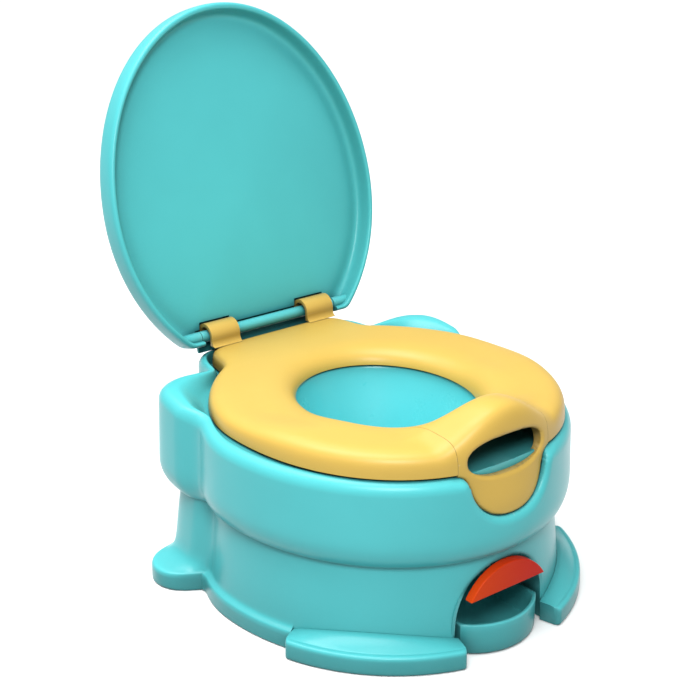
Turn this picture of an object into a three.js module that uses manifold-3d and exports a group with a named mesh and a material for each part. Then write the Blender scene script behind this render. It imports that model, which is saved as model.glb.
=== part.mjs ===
// Potty training chair: a moulded two-piece body with a lift-out pot, a padded-looking seat ring
// with a splash guard and a hand opening, a hinged lid, a slide-out drip tray and stabiliser feet.
// Millimetres, +Z up, the front faces -Y. Every piece is its own closed mesh.
import * as THREE from "three";
import { mergeVertices } from "three/addons/utils/BufferGeometryUtils.js";
import Module from "manifold-3d";

const solids = await Module();
solids.setup();

// ---------------------------------------------------------------- driving dimensions
const GAP = 0.3;
const WALL = 4;

// Plan outlines are polar curves about this centre. The design frame puts the back of the
// bowl at +Y; the finished assembly is shifted so that its own box is centred.
const CENTRE_Y = 60;

const BODY = {
  halfWidth: 180,
  front: 199,
  rear: 150,
  blockHalfWidth: 179,
  blockRear: 141,
  blockSquareness: 8,
  valleyStart: 0.262,
  valleyEnd: 0.419,
  neckHalfWidth: 103,
  neckRear: 186,
  neckSquareness: 7,
  blend: 9,
  waistZ: 93,
  rimZ: 179,
  shoulderRise: 15,
  riseStartY: 55,
  riseLength: 130,
  neckShare: 0.77,
  neckFade: 55,
  rollHeight: 20,
  rollDepth: 14,
  edgeHeight: 12,
  edgeDepth: 10,
  taper: 0.03,
  taperStartZ: 125,
  corbelTopZ: 158,
  corbelDepth: 66,
  corbelPower: 1.3,
};
// Heights of the outer wall's rows, as shares of the way from the waist to the rim.
const WALL_SHARES = [0, 0.03, 0.08, 0.16, 0.3, 0.5, 0.7, 0.86, 0.93, 0.975, 1];
// The shelf behind the rim dips to the deck: [share of the way inwards, share of the height].
const SHELF_DIP = [[0.25, 0.98], [0.55, 0.6], [0.8, 0.2]];
const INNER_WALL_Z = [145, 115];

// The deck carries the seat, and its stepped opening carries the pot's flange. The opening's
// sizes are scales of the pot's own outline.
const DECK = {
  topZ: 178.5,
  undersideZ: 174.5,
  ledgeZ: 171,
  ledgeUndersideZ: 167.5,
  lipZ: 160,
  seatClearance: 1.5,
  opening: 1.17,
  ledge: 1.03,
  lipBack: 1.06,
  ledgeBack: 1.2,
};

const PEDESTAL = {
  floorZ: 1,
  flangeTopZ: 20,
  flange: 6,
  topInset: 14,
  footInset: 7,
  blockExtraInset: 1.5,
  rearFoot: { x: 165, y: 152, radius: 33 },
  rearFootBlend: 6,
  reachAtFrontFeet: 0.4,
  wallRows: [70, 45],
  ledgeWidth: 17,
  ledgeThickness: 4.5,
};

const ARCH = {
  halfWidth: 55,
  shoulderHalfWidth: 53,
  springZ: 30.5,
  crownZ: 84.5,
  wall: 3.5,
  depth: 85,
  jacketSetback: 18,
  cutterOverrun: 20,
};
const FRONT_FOOT = {
  arcCentreY: 34,
  arcRadius: 187,
  innerX: 51,
  outerAngle: 0.49,
  topZ: 19.5,
  crownZ: 30,
  wallClearance: 0.8,
  sections: 14,
};

const SEAT = {
  halfWidth: 164,
  front: 188,
  rear: 150,
  frontSquareness: 2.2,
  tabHalfWidth: 86,
  tabRear: 172,
  tabSquareness: 11,
  tabBlend: 20,
  undersideZ: 181.5,
  topZ: 204,
  rearTopZ: 198,
  slopeY: [-20, 80],
  rearEdgeBreadth: 0.45,
  rearEdgeY: [130, 200],
  wall: 3.5,
};
// Cross-section of the seat ring, over its outer edge and down the funnel. Each row holds the
// distance from the outline or the hole, the share of the ring's height, the same distance
// under the guard's full hump, and the share of the hump that the point climbs.
const EDGE = [
  [0, 0, 0, 0],
  [1.5, 0.35, 1.2, 0.35],
  [5, 0.62, 3.4, 0.7],
  [11, 0.84, 8, 0.9],
  [18, 0.96, 14, 0.985],
  [26, 1, 22, 1],
];
const FUNNEL = [
  [36, 1, 38, 0.97],
  [30, 0.99, 31, 0.83],
  [22, 0.95, 22, 0.45],
  [13, 0.86, 13, 0.14],
  [5, 0.6, 5, 0.02],
  [1, 0.25, 1, 0],
  [0, 0, 0, 0],
];
const HOLE = { y: 41, halfWidth: 82, halfLength: 96 };
const GUARD = {
  halfWidth: 54,
  hump: 33,
  humpTopHalfWidth: 16,
  humpFootHalfWidth: 66,
  wall: 4.5,
  tongueHalfWidth: 45,
  tongueDrop: 47,
  tongueBulge: 6,
  sections: 16,
};
const HAND_HOLE = { halfWidth: 41, halfHeight: 17, z: 190, squareness: 2.3, depth: 22, steps: 24 };
const NOTCH = { clearance: 1.2, backY: -110, steps: 16 };
// How far the cutters for the seat's front run above it, and where those for the base start.
const HEADROOM = 40;
const BELOW_FLOOR_Z = -5;

const POT = { halfWidth: 90, halfLength: 104, floorZ: 84, wall: 3 };
// Rows of the pot's profile, from the inside of its floor over the rim and the flange and down
// the outside: [scale of the outline, z].
const POT_PROFILE = [
  [0.4, POT.floorZ],
  [0.54, POT.floorZ + 3],
  [0.63, POT.floorZ + 12],
  [0.72, 118],
  [0.82, 143],
  [0.9, 163],
  [0.945, 177],
  [0.96, 179.5],
  [0.985, 179.5],
  [1, 177],
  [1.005, 174.5],
  [1.12, 174.2],
  [1.13, 173],
  [1.12, DECK.ledgeZ + GAP],
  [1, DECK.ledgeZ + GAP],
  [0.93, 162],
  [0.86, 143],
  [0.76, 117],
  [0.67, POT.floorZ + 10],
  [0.57, POT.floorZ - 1],
  [0.42, POT.floorZ - POT.wall],
];

const HINGE = { y: 239, z: 206, rodRadius: 6, rodHalfLength: 83.7, stubRadius: 2.7, stubHalfLength: 91.7 };
const HOOK = {
  x: 60,
  width: 34,
  innerRadius: 9.4,
  outerRadius: 13,
  footZ: 198.3,
  footLength: 7,
  footThickness: 4,
  ankle: 2.5,
  tipAngle: -0.7,
};
const LID = {
  tilt: THREE.MathUtils.degToRad(15.3),
  halfWidth: 159,
  top: 199,
  bottom: 180,
  centre: 131,
  cut: -9,
  lip: 10.4,
  panel: -4.4,
  back: -9,
  backCrown: 0.6,
  rimBack: -17.5,
  slotFloor: -13.4,
  rodClearance: 0.7,
  hookSideClearance: 1.5,
  hookClearance: 1.2,
  boreRadius: 3,
  stopHalfWidth: 80,
  stopLowY: -18,
};

const TRAY = {
  noseRadius: 62,
  noseY: -81,
  halfWidth: 47,
  rearY: 30,
  cornerRadius: 12,
  floorZ: 2,
  rimZ: 31,
  wall: 4,
  floor: 3,
};
const CRESCENT = { chordZ: 57.5, thickness: 9, frontY: -133, clearance: 0.6 };
const SCREW = {
  shank: 2,
  head: 4,
  headHeight: 2.4,
  length: 13,
  point: 1.5,
  hole: 2.4,
  fromLedgeEdge: 6,
  angles: [60, 120, 190, 235, 305, 350],
};
const RUBBER = { radius: 6.5, height: 4.2, pocketClearance: 0.4, frontAngle: 0.75, frontOffset: 9 };
const BUMPER = { width: 16, depth: 7, rise: 6, inset: 12, deckGap: 0.2, angles: [28, 152, 200, 340] };

const SEGMENTS = { body: 52, seat: 46, lid: 48, pot: 36 };

// ---------------------------------------------------------------- small maths
const { smoothstep, lerp } = THREE.MathUtils;
const point = (x, y, z) => new THREE.Vector3(x, y, z);

function smoothMax(a, b, blend) {
  const share = Math.max(blend - Math.abs(a - b), 0) / blend;
  return Math.max(a, b) + (share * share * blend) / 4;
}

// Polar radius of a superellipse with half sizes a along X and b along Y.
function superRadius(angle, a, b, squareness) {
  const alongX = Math.abs(Math.cos(angle) / a) ** squareness;
  const alongY = Math.abs(Math.sin(angle) / b) ** squareness;
  return (alongX + alongY) ** (-1 / squareness);
}

function polar(angle, radius, z) {
  return point(radius * Math.cos(angle), CENTRE_Y + radius * Math.sin(angle), z);
}

function anglesAround(count, extra = []) {
  const even = Array.from({ length: count }, (_, i) => (2 * Math.PI * (i + 0.5)) / count);
  return [...even, ...extra].sort((a, b) => a - b);
}

// ---------------------------------------------------------------- mesh builders
function signedVolume(points, triangles) {
  const cross = new THREE.Vector3();
  const sixfold = ([a, b, c]) => points[a].dot(cross.crossVectors(points[b], points[c]));
  return triangles.reduce((sum, triangle) => sum + sixfold(triangle), 0);
}

function closedMesh(points, triangles) {
  const turned = ([a, b, c]) => [a, c, b];
  const outward = signedVolume(points, triangles) > 0 ? triangles : triangles.map(turned);
  const geometry = new THREE.BufferGeometry();
  const coordinates = points.flatMap((p) => [p.x, p.y, p.z]);
  geometry.setAttribute("position", new THREE.Float32BufferAttribute(coordinates, 3));
  geometry.setIndex(outward.flat());
  return geometry;
}

function quad(a, b, c, d) {
  return [[a, b, c], [a, c, d]];
}

// A ring-shaped body: each section is a closed loop, and the sections go all the way round.
function ringLoft(sections) {
  const size = sections[0].length;
  const triangles = [];
  sections.forEach((_, i) => {
    const next = (i + 1) % sections.length;
    for (let j = 0; j < size; j += 1) {
      const k = (j + 1) % size;
      triangles.push(...quad(i * size + j, next * size + j, next * size + k, i * size + k));
    }
  });
  return closedMesh(sections.flat(), triangles);
}

// A bowl-shaped body: closed rings stacked between two poles on its axis.
function bowlLoft(firstPole, rings, lastPole) {
  const size = rings[0].length;
  const points = [firstPole, ...rings.flat(), lastPole];
  const last = points.length - 1;
  const triangles = [];
  for (let j = 0; j < size; j += 1) {
    const k = (j + 1) % size;
    triangles.push([0, 1 + j, 1 + k]);
    for (let i = 0; i + 1 < rings.length; i += 1) {
      const lower = 1 + i * size;
      const upper = lower + size;
      triangles.push(...quad(lower + j, upper + j, upper + k, lower + k));
    }
    triangles.push([last, last - size + k, last - size + j]);
  }
  return closedMesh(points, triangles);
}

// A bar-shaped body: closed flat sections one after another, with a cap at each end.
// flatten gives the two coordinates of a point in the plane of its section.
function barLoft(sections, flatten) {
  const size = sections[0].length;
  const lastStart = (sections.length - 1) * size;
  const triangles = [];
  for (let i = 0; i + 1 < sections.length; i += 1) {
    for (let j = 0; j < size; j += 1) {
      const k = (j + 1) % size;
      triangles.push(...quad(i * size + j, i * size + k, (i + 1) * size + k, (i + 1) * size + j));
    }
  }
  const turn = Math.sign(THREE.ShapeUtils.area(sections[0].map(flatten)));
  for (const [a, b, c] of capTriangles(sections[0].map(flatten), turn)) {
    triangles.push([a, c, b]);
  }
  for (const [a, b, c] of capTriangles(sections.at(-1).map(flatten), turn)) {
    triangles.push([lastStart + a, lastStart + b, lastStart + c]);
  }
  return closedMesh(sections.flat(), triangles);
}

// Cap triangles that turn the way the loop itself runs.
function capTriangles(loop, turn) {
  const faces = THREE.ShapeUtils.triangulateShape(loop, []);
  return faces.map(([a, b, c]) => {
    const area = THREE.ShapeUtils.area([loop[a], loop[b], loop[c]]);
    return Math.sign(area) === turn ? [a, b, c] : [a, c, b];
  });
}

function extrude(shape, depth, curveSegments) {
  return new THREE.ExtrudeGeometry(shape, { depth, bevelEnabled: false, curveSegments });
}

function extrudeAlongY(shape, frontY, backY, curveSegments = 12) {
  const geometry = extrude(shape, backY - frontY, curveSegments);
  return geometry.rotateX(Math.PI / 2).translate(0, backY, 0);
}

function extrudeAlongX(shape, startX, endX, curveSegments = 12) {
  const geometry = extrude(shape, endX - startX, curveSegments);
  const axes = new THREE.Matrix4().makeBasis(point(0, 1, 0), point(0, 0, 1), point(1, 0, 0));
  return geometry.applyMatrix4(axes).translate(startX, 0, 0);
}

function boxBetween(low, high) {
  const size = high.clone().sub(low);
  const middle = low.clone().add(high).multiplyScalar(0.5);
  return new THREE.BoxGeometry(size.x, size.y, size.z).translate(middle.x, middle.y, middle.z);
}

function uprightCylinder(radius, x, y, lowZ, highZ, sides = 12) {
  const geometry = new THREE.CylinderGeometry(radius, radius, highZ - lowZ, sides).rotateX(Math.PI / 2);
  return geometry.translate(x, y, (lowZ + highZ) / 2);
}

function toSolid(geometry) {
  const bare = geometry.clone();
  bare.deleteAttribute("normal");
  bare.deleteAttribute("uv");
  const merged = mergeVertices(bare, 1e-4);
  const vertProperties = new Float32Array(merged.attributes.position.array);
  const triVerts = new Uint32Array(merged.index.array);
  return new solids.Manifold(new solids.Mesh({ numProp: 3, vertProperties, triVerts }));
}

function fromSolid(solid) {
  const mesh = solid.getMesh();
  const geometry = new THREE.BufferGeometry();
  geometry.setAttribute("position", new THREE.BufferAttribute(new Float32Array(mesh.vertProperties), 3));
  geometry.setIndex(new THREE.BufferAttribute(new Uint32Array(mesh.triVerts), 1));
  return geometry;
}

function cut(geometry, cutters) {
  const solid = cutters.reduce((rest, cutter) => rest.subtract(toSolid(cutter)), toSolid(geometry));
  return fromSolid(solid);
}

// ---------------------------------------------------------------- body outline
function quarterRound(distance, height, depth) {
  const rest = THREE.MathUtils.clamp(1 - distance / height, 0, 1);
  return depth * (1 - Math.sqrt(1 - rest * rest));
}

// Distance of the rear shoulders' corner from belly (0) to block (1) around the plan.
function blockShare(angle) {
  const fromSide = Math.asin(Math.max(Math.sin(angle), 0));
  return smoothstep(fromSide, BODY.valleyStart, BODY.valleyEnd);
}

function bodyRadius(angle, inset, neckInset) {
  const rearward = Math.sin(angle) > 0;
  const belly = superRadius(angle, BODY.halfWidth - inset, (rearward ? BODY.rear : BODY.front) - inset, 2);
  const block = superRadius(angle, BODY.blockHalfWidth - inset, BODY.blockRear - inset, BODY.blockSquareness);
  const plan = lerp(belly, block, blockShare(angle));
  if (!rearward || neckInset > BODY.neckRear - BODY.blockRear + inset) {
    return plan;
  }
  const neckHalfWidth = BODY.neckHalfWidth - neckInset / 4;
  const neck = superRadius(angle, neckHalfWidth, BODY.neckRear - neckInset, BODY.neckSquareness);
  return smoothMax(plan, neck, BODY.blend);
}

// The rim is level round the belly, climbs in an S curve to the shoulders and dips at the neck.
function ridgeHeight(angle) {
  const outline = polar(angle, bodyRadius(angle, 0, 0), 0);
  const rise = smoothstep(outline.y, BODY.riseStartY, BODY.riseStartY + BODY.riseLength);
  const away = smoothstep(Math.abs(outline.x), BODY.neckHalfWidth, BODY.neckHalfWidth + BODY.neckFade);
  return BODY.rimZ + BODY.shoulderRise * rise * lerp(BODY.neckShare, 1, away);
}

function bodyWall(angle, z, ridge) {
  const roll = quarterRound(z - BODY.waistZ, BODY.rollHeight, BODY.rollDepth);
  const edge = quarterRound(ridge - z, BODY.edgeHeight, BODY.edgeDepth);
  const taper = BODY.taper * Math.max(z - BODY.taperStartZ, 0);
  const below = Math.max(BODY.corbelTopZ - z, 0) / (BODY.corbelTopZ - BODY.waistZ);
  const corbel = BODY.corbelDepth * below ** BODY.corbelPower;
  return bodyRadius(angle, roll + edge + taper, edge + corbel);
}

function seatRadius(angle, inset) {
  const rearward = Math.sin(angle) > 0;
  const length = (rearward ? SEAT.rear : SEAT.front) - inset;
  const ring = superRadius(angle, SEAT.halfWidth - inset, length, rearward ? 2 : SEAT.frontSquareness);
  if (!rearward) {
    return ring;
  }
  const tab = superRadius(angle, SEAT.tabHalfWidth - inset, SEAT.tabRear - inset, SEAT.tabSquareness);
  return smoothMax(ring, tab, SEAT.tabBlend);
}

function ellipsePoint(angle, scale, z) {
  return point(POT.halfWidth * scale * Math.cos(angle), HOLE.y + POT.halfLength * scale * Math.sin(angle), z);
}

// ---------------------------------------------------------------- upper body
function upperBodySection(angle) {
  const ridge = ridgeHeight(angle);
  const bottom = BODY.waistZ + GAP / 2;
  const outside = WALL_SHARES.map((share) => {
    const z = lerp(bottom, ridge, share);
    return polar(angle, bodyWall(angle, z, ridge), z);
  });
  const seatGap = seatRadius(angle, -DECK.seatClearance);
  const crest = bodyWall(angle, ridge, ridge);
  const shelf = Math.max(crest - seatGap, 1);
  const dish = SHELF_DIP.map(([across, up]) =>
    polar(angle, crest - shelf * across, lerp(DECK.topZ, ridge, up)));
  const wallAt = (z) => polar(angle, bodyWall(angle, z, ridge) - WALL, z);
  const inward = crest - BODY.rollDepth + BODY.edgeDepth;
  const waist = bodyWall(angle, bottom, ridge);
  return [
    ...outside,
    ...dish,
    polar(angle, Math.min(seatGap, crest - 1), DECK.topZ),
    ellipsePoint(angle, DECK.opening, DECK.topZ),
    ellipsePoint(angle, DECK.opening, DECK.ledgeZ),
    ellipsePoint(angle, DECK.ledge, DECK.ledgeZ),
    ellipsePoint(angle, DECK.ledge, DECK.lipZ),
    ellipsePoint(angle, DECK.lipBack, DECK.lipZ),
    ellipsePoint(angle, DECK.lipBack, DECK.ledgeUndersideZ),
    ellipsePoint(angle, DECK.ledgeBack, DECK.ledgeUndersideZ),
    ellipsePoint(angle, DECK.ledgeBack, DECK.undersideZ),
    polar(angle, Math.min(inward, bodyWall(angle, DECK.undersideZ - 4, ridge) - WALL) - 3, DECK.undersideZ),
    wallAt(DECK.undersideZ - 6),
    ...INNER_WALL_Z.map(wallAt),
    polar(angle, waist - WALL, bottom + PEDESTAL.ledgeThickness),
    polar(angle, waist - PEDESTAL.ledgeWidth, bottom + PEDESTAL.ledgeThickness),
    polar(angle, waist - PEDESTAL.ledgeWidth, bottom),
  ];
}

// The U-shaped outline of the tongue, grown by a clearance, closed above the rim.
function tongueShape(grow) {
  const shape = new THREE.Shape();
  const half = GUARD.tongueHalfWidth + grow;
  const drop = GUARD.tongueDrop + grow;
  const top = SEAT.undersideZ + HEADROOM;
  shape.moveTo(-half, top);
  for (let i = 0; i <= NOTCH.steps; i += 1) {
    const angle = Math.PI + (Math.PI * i) / NOTCH.steps;
    const x = half * Math.sign(Math.cos(angle)) * Math.abs(Math.cos(angle)) ** 0.85;
    shape.lineTo(x, SEAT.undersideZ - drop * Math.abs(Math.sin(angle)) ** 0.9);
  }
  shape.lineTo(half, top);
  return shape;
}

function screwPlaces() {
  const ledgeEdge = (angle) => pedestalWall(angle, BODY.waistZ) - PEDESTAL.ledgeWidth;
  return SCREW.angles.map((degrees) => {
    const angle = THREE.MathUtils.degToRad(degrees);
    return polar(angle, ledgeEdge(angle) + SCREW.fromLedgeEdge, 0);
  });
}

function screwHoles(lowZ, highZ) {
  return screwPlaces().map(({ x, y }) => uprightCylinder(SCREW.hole, x, y, lowZ, highZ, 10));
}

function upperBody() {
  const shell = ringLoft(anglesAround(SEGMENTS.body).map(upperBodySection));
  const notch = extrudeAlongY(tongueShape(NOTCH.clearance), -BODY.front, NOTCH.backY);
  const flangeTop = BODY.waistZ + PEDESTAL.ledgeThickness + 1;
  return cut(shell, [notch, ...screwHoles(BODY.waistZ - 1, flangeTop)]);
}

// ---------------------------------------------------------------- pedestal and feet
function pedestalWall(angle, z) {
  const up = (z - PEDESTAL.flangeTopZ) / (BODY.waistZ - PEDESTAL.flangeTopZ);
  const share = THREE.MathUtils.clamp(up, 0, 1);
  const inset = lerp(PEDESTAL.footInset, PEDESTAL.topInset, share);
  return bodyRadius(angle, inset + PEDESTAL.blockExtraInset * blockShare(angle), Infinity);
}

function rearFootRadius(angle) {
  const { x, y, radius } = PEDESTAL.rearFoot;
  const along = x * Math.abs(Math.cos(angle)) + (y - CENTRE_Y) * Math.sin(angle);
  const offLine = x * x + (y - CENTRE_Y) ** 2 - along * along;
  return along > 0 && offLine < radius * radius ? along + Math.sqrt(radius * radius - offLine) : 0;
}

// The front feet replace the flange between these two directions, measured from straight ahead.
function frontFootSpan() {
  const wallRadius = (angle) => pedestalWall(angle, PEDESTAL.flangeTopZ);
  let inner = 0.2;
  for (let i = 0; i < 30; i += 1) {
    inner = Math.asin(FRONT_FOOT.innerX / wallRadius(inner - Math.PI / 2));
  }
  return { inner, outer: Math.PI / 2 - FRONT_FOOT.outerAngle + 0.02 };
}
const FOOT_SPAN = frontFootSpan();
const FOOT_MARGIN = 0.004;

function inFootSpan(angle) {
  const fromFront = Math.abs(Math.atan2(Math.cos(angle), -Math.sin(angle)));
  return fromFront > FOOT_SPAN.inner - FOOT_MARGIN && fromFront < FOOT_SPAN.outer + FOOT_MARGIN;
}

function flangeReach(angle) {
  if (inFootSpan(angle)) {
    return PEDESTAL.reachAtFrontFeet;
  }
  const wall = pedestalWall(angle, PEDESTAL.flangeTopZ);
  return smoothMax(wall + PEDESTAL.flange, rearFootRadius(angle), PEDESTAL.rearFootBlend) - wall;
}

function pedestalSection(angle) {
  const top = BODY.waistZ - GAP / 2;
  const ledgeBottom = top - PEDESTAL.ledgeThickness;
  const { floorZ, flangeTopZ, ledgeWidth } = PEDESTAL;
  const foot = pedestalWall(angle, flangeTopZ);
  const reach = flangeReach(angle);
  // The flange falls away from the wall a little and rounds over at its edge.
  const outer = (z) => polar(angle, pedestalWall(angle, z), z);
  return [
    outer(top),
    ...PEDESTAL.wallRows.map(outer),
    polar(angle, foot, flangeTopZ + 0.8),
    polar(angle, foot + reach * 0.35, flangeTopZ),
    polar(angle, foot + reach - Math.min(reach * 0.2, 3), flangeTopZ - 1.2),
    polar(angle, foot + reach, flangeTopZ - 4.5),
    polar(angle, foot + reach, floorZ),
    polar(angle, foot - WALL, floorZ),
    polar(angle, foot - WALL, flangeTopZ),
    polar(angle, pedestalWall(angle, top) - WALL - 1, ledgeBottom),
    polar(angle, pedestalWall(angle, top) - ledgeWidth, ledgeBottom),
    polar(angle, pedestalWall(angle, top) - ledgeWidth, top),
  ];
}

// Arch outline: straight jambs that lean in a little, under a half ellipse.
function archShape(grow, lowZ) {
  const shape = new THREE.Shape();
  shape.moveTo(-ARCH.halfWidth - grow, lowZ);
  shape.lineTo(-ARCH.shoulderHalfWidth - grow, ARCH.springZ);
  const rise = ARCH.crownZ - ARCH.springZ + grow;
  shape.absellipse(0, ARCH.springZ, ARCH.shoulderHalfWidth + grow, rise, Math.PI, 0, true);
  shape.lineTo(ARCH.halfWidth + grow, lowZ);
  return shape;
}

// Both ends of the front feet, and the arc of the rear feet, get sections of their own.
function pedestalAngles() {
  const { x, y, radius } = PEDESTAL.rearFoot;
  const middle = Math.atan2(y - CENTRE_Y, x);
  const halfSpan = Math.asin(radius / Math.hypot(x, y - CENTRE_Y));
  const rear = [-1, -0.9, -0.7, -0.4, 0.4, 0.7, 0.9, 1].map((share) => middle + halfSpan * share);
  const front = [FOOT_SPAN.inner - FOOT_MARGIN, FOOT_SPAN.outer + FOOT_MARGIN]
    .flatMap((fromFront) => [fromFront - 0.002, fromFront + 0.002])
    .map((fromFront) => fromFront - Math.PI / 2);
  const bothSides = [...rear, ...front].flatMap((angle) => [angle, Math.PI - angle]);
  const extra = bothSides.map((angle) => (angle + 2 * Math.PI) % (2 * Math.PI));
  return anglesAround(SEGMENTS.body, extra);
}

function pedestal() {
  const shell = toSolid(ringLoft(pedestalAngles().map(pedestalSection)));
  const frontY = CENTRE_Y - BODY.front;
  const backY = frontY + ARCH.depth;
  const jacketShape = archShape(ARCH.wall, PEDESTAL.floorZ);
  const jackets = toSolid(extrudeAlongY(jacketShape, frontY + ARCH.jacketSetback, backY, 16));
  const tunnelShape = archShape(0, BELOW_FLOOR_Z);
  const tunnel = toSolid(extrudeAlongY(tunnelShape, frontY - ARCH.cutterOverrun, backY + 1, 16));
  const { x, y } = PEDESTAL.rearFoot;
  const pockets = [-x, x].map((side) => rubberPocket(side, y));
  const joined = fromSolid(shell.add(jackets).subtract(tunnel));
  return cut(joined, [...pockets, ...screwHoles(BODY.waistZ - 8, BODY.waistZ + 1)]);
}

function rubberPocket(x, y) {
  const { radius, height, pocketClearance } = RUBBER;
  return uprightCylinder(radius + pocketClearance, x, y, -1, height + pocketClearance, 16);
}

function rubberPad(x, y) {
  return uprightCylinder(RUBBER.radius, x, y, 0, RUBBER.height, 16);
}

function frontFootPadPlace(side) {
  const angle = -Math.PI / 2 + side * RUBBER.frontAngle;
  return polar(angle, pedestalWall(angle, 0) + RUBBER.frontOffset, 0);
}

// A wedge-shaped step that fills the corner between the pedestal wall and the floor arc.
function frontFoot(side) {
  const sections = Array.from({ length: FRONT_FOOT.sections + 1 }, (_, i) => {
    const share = i / FRONT_FOOT.sections;
    const fromFront = lerp(FOOT_SPAN.inner, FOOT_SPAN.outer, share);
    const angle = -Math.PI / 2 + side * fromFront;
    const inner = pedestalWall(angle, PEDESTAL.flangeTopZ) + FRONT_FOOT.wallClearance;
    const lift = CENTRE_Y - FRONT_FOOT.arcCentreY;
    const sine = -Math.sin(angle);
    const along = lift * sine;
    const outer = along + Math.sqrt(FRONT_FOOT.arcRadius ** 2 - lift * lift + along * along);
    const crown = lerp(FRONT_FOOT.topZ + 0.5, FRONT_FOOT.crownZ, Math.sin(Math.PI * share) ** 0.8);
    const { floorZ } = PEDESTAL;
    const reach = outer - inner;
    return [
      polar(angle, inner, floorZ),
      polar(angle, outer, floorZ),
      polar(angle, outer, FRONT_FOOT.topZ - 4),
      polar(angle, outer - Math.min(1.2, reach * 0.2), FRONT_FOOT.topZ - 1),
      polar(angle, outer - Math.min(4, reach * 0.4), FRONT_FOOT.topZ),
      polar(angle, inner + reach * 0.25, lerp(FRONT_FOOT.topZ, crown, 0.8)),
      polar(angle, inner, crown),
    ];
  });
  const flatten = (p) => new THREE.Vector2(Math.hypot(p.x, p.y - CENTRE_Y), p.z);
  const place = frontFootPadPlace(side);
  return cut(barLoft(sections, flatten), [rubberPocket(place.x, place.y)]);
}

function screw({ x, y }) {
  const seatZ = BODY.waistZ - GAP / 2 - PEDESTAL.ledgeThickness - 0.2;
  const profile = [
    new THREE.Vector2(0, -SCREW.headHeight),
    new THREE.Vector2(SCREW.head * 0.7, -SCREW.headHeight),
    new THREE.Vector2(SCREW.head, 0),
    new THREE.Vector2(SCREW.shank, 0),
    new THREE.Vector2(SCREW.shank, SCREW.length - SCREW.point),
    new THREE.Vector2(0, SCREW.length),
  ];
  return new THREE.LatheGeometry(profile, 10).rotateX(Math.PI / 2).translate(x, y, seatZ);
}

// ---------------------------------------------------------------- pot
function pot() {
  const angles = anglesAround(SEGMENTS.pot);
  const ring = ([scale, z]) => angles.map((angle) => ellipsePoint(angle, scale, z));
  const top = point(0, HOLE.y, POT.floorZ);
  const bottom = point(0, HOLE.y, POT.floorZ - POT.wall);
  return bowlLoft(top, POT_PROFILE.map(ring), bottom);
}

// ---------------------------------------------------------------- seat ring and splash guard
function seatTop(y) {
  return lerp(SEAT.topZ, SEAT.rearTopZ, smoothstep(y, ...SEAT.slopeY));
}

function humpShare(x) {
  return 1 - smoothstep(Math.abs(x), GUARD.humpTopHalfWidth, GUARD.humpFootHalfWidth);
}

// Distances and heights of one of the two profiles, where the hump has the given share.
function profileAt(rows, height, hump, breadth = 1) {
  return rows.map(([distance, share, humpDistance, climb]) => [
    lerp(distance, humpDistance, hump) * breadth,
    height * share + GUARD.hump * hump * climb,
    share,
  ]);
}

function holePoint(angle, grow, z) {
  const x = (HOLE.halfWidth + grow) * Math.cos(angle);
  return point(x, HOLE.y + (HOLE.halfLength + grow) * Math.sin(angle), z);
}

function seatSection(angle) {
  const { undersideZ, wall } = SEAT;
  const outline = polar(angle, seatRadius(angle, 0), 0);
  const height = seatTop(outline.y) - undersideZ;
  const hump = outline.y < CENTRE_Y ? humpShare(outline.x) : 0;
  const breadth = lerp(1, SEAT.rearEdgeBreadth, smoothstep(outline.y, ...SEAT.rearEdgeY));
  const edge = profileAt(EDGE, height, hump, breadth);
  const funnel = profileAt(FUNNEL, height, hump);
  const overEdge = ([inset, up]) => polar(angle, seatRadius(angle, inset), undersideZ + up);
  const overFunnel = ([grow, up]) => holePoint(angle, grow, undersideZ + up);
  const underneath = ([distance, up, share]) => [distance + wall * (1 - share), up - wall * share];
  return [
    ...edge.map(overEdge),
    ...funnel.map(overFunnel),
    ...funnel.map(underneath).map(overFunnel).reverse(),
    ...edge.map(underneath).map(overEdge).reverse(),
  ];
}

function seatRing() {
  const ring = ringLoft(anglesAround(SEGMENTS.seat).map(seatSection));
  const half = GUARD.halfWidth + GAP;
  const mouth = boxBetween(point(-half, -BODY.front, BODY.waistZ), point(half, 0, SEAT.topZ + HEADROOM));
  return cut(ring, [mouth]);
}

function frontOfRing(x) {
  const share = 1 - Math.abs(x / SEAT.halfWidth) ** SEAT.frontSquareness;
  return CENTRE_Y - SEAT.front * share ** (1 / SEAT.frontSquareness);
}

function frontOfHole(x) {
  return HOLE.y - HOLE.halfLength * Math.sqrt(1 - (x / HOLE.halfWidth) ** 2);
}

// One fore-and-aft section of the guard, from the tongue's edge over the hump to the hole.
function guardPath(x) {
  const inU = Math.max(1 - Math.abs(x / GUARD.tongueHalfWidth) ** 2.4, 0) ** (1 / 2.2);
  const front = frontOfRing(x);
  const hole = frontOfHole(x);
  const { undersideZ } = SEAT;
  const low = undersideZ - GUARD.tongueDrop * inU;
  const bulge = GUARD.tongueBulge * inU;
  const height = SEAT.topZ - undersideZ;
  const edge = profileAt(EDGE, height, humpShare(x));
  const funnel = profileAt(FUNNEL, height, humpShare(x));
  const lowest = undersideZ + 1;
  return [
    [front - bulge, low],
    [front - bulge * 0.55, lerp(low, undersideZ, 0.5)],
    ...edge.map(([inset, up]) => [front + inset, Math.max(undersideZ + up, lowest)]),
    ...funnel.map(([grow, up]) => [hole - grow, Math.max(undersideZ + up, lowest)]),
  ].map(([y, z]) => new THREE.Vector2(y, z));
}

// The same path moved inwards by the wall thickness, along the normals of its segments.
function insetPath(path, thickness) {
  return path.map((here, i) => {
    const before = path[Math.max(i - 1, 0)];
    const after = path[Math.min(i + 1, path.length - 1)];
    const along = after.clone().sub(before).normalize();
    return here.clone().add(new THREE.Vector2(along.y, -along.x).multiplyScalar(thickness));
  });
}

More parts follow.
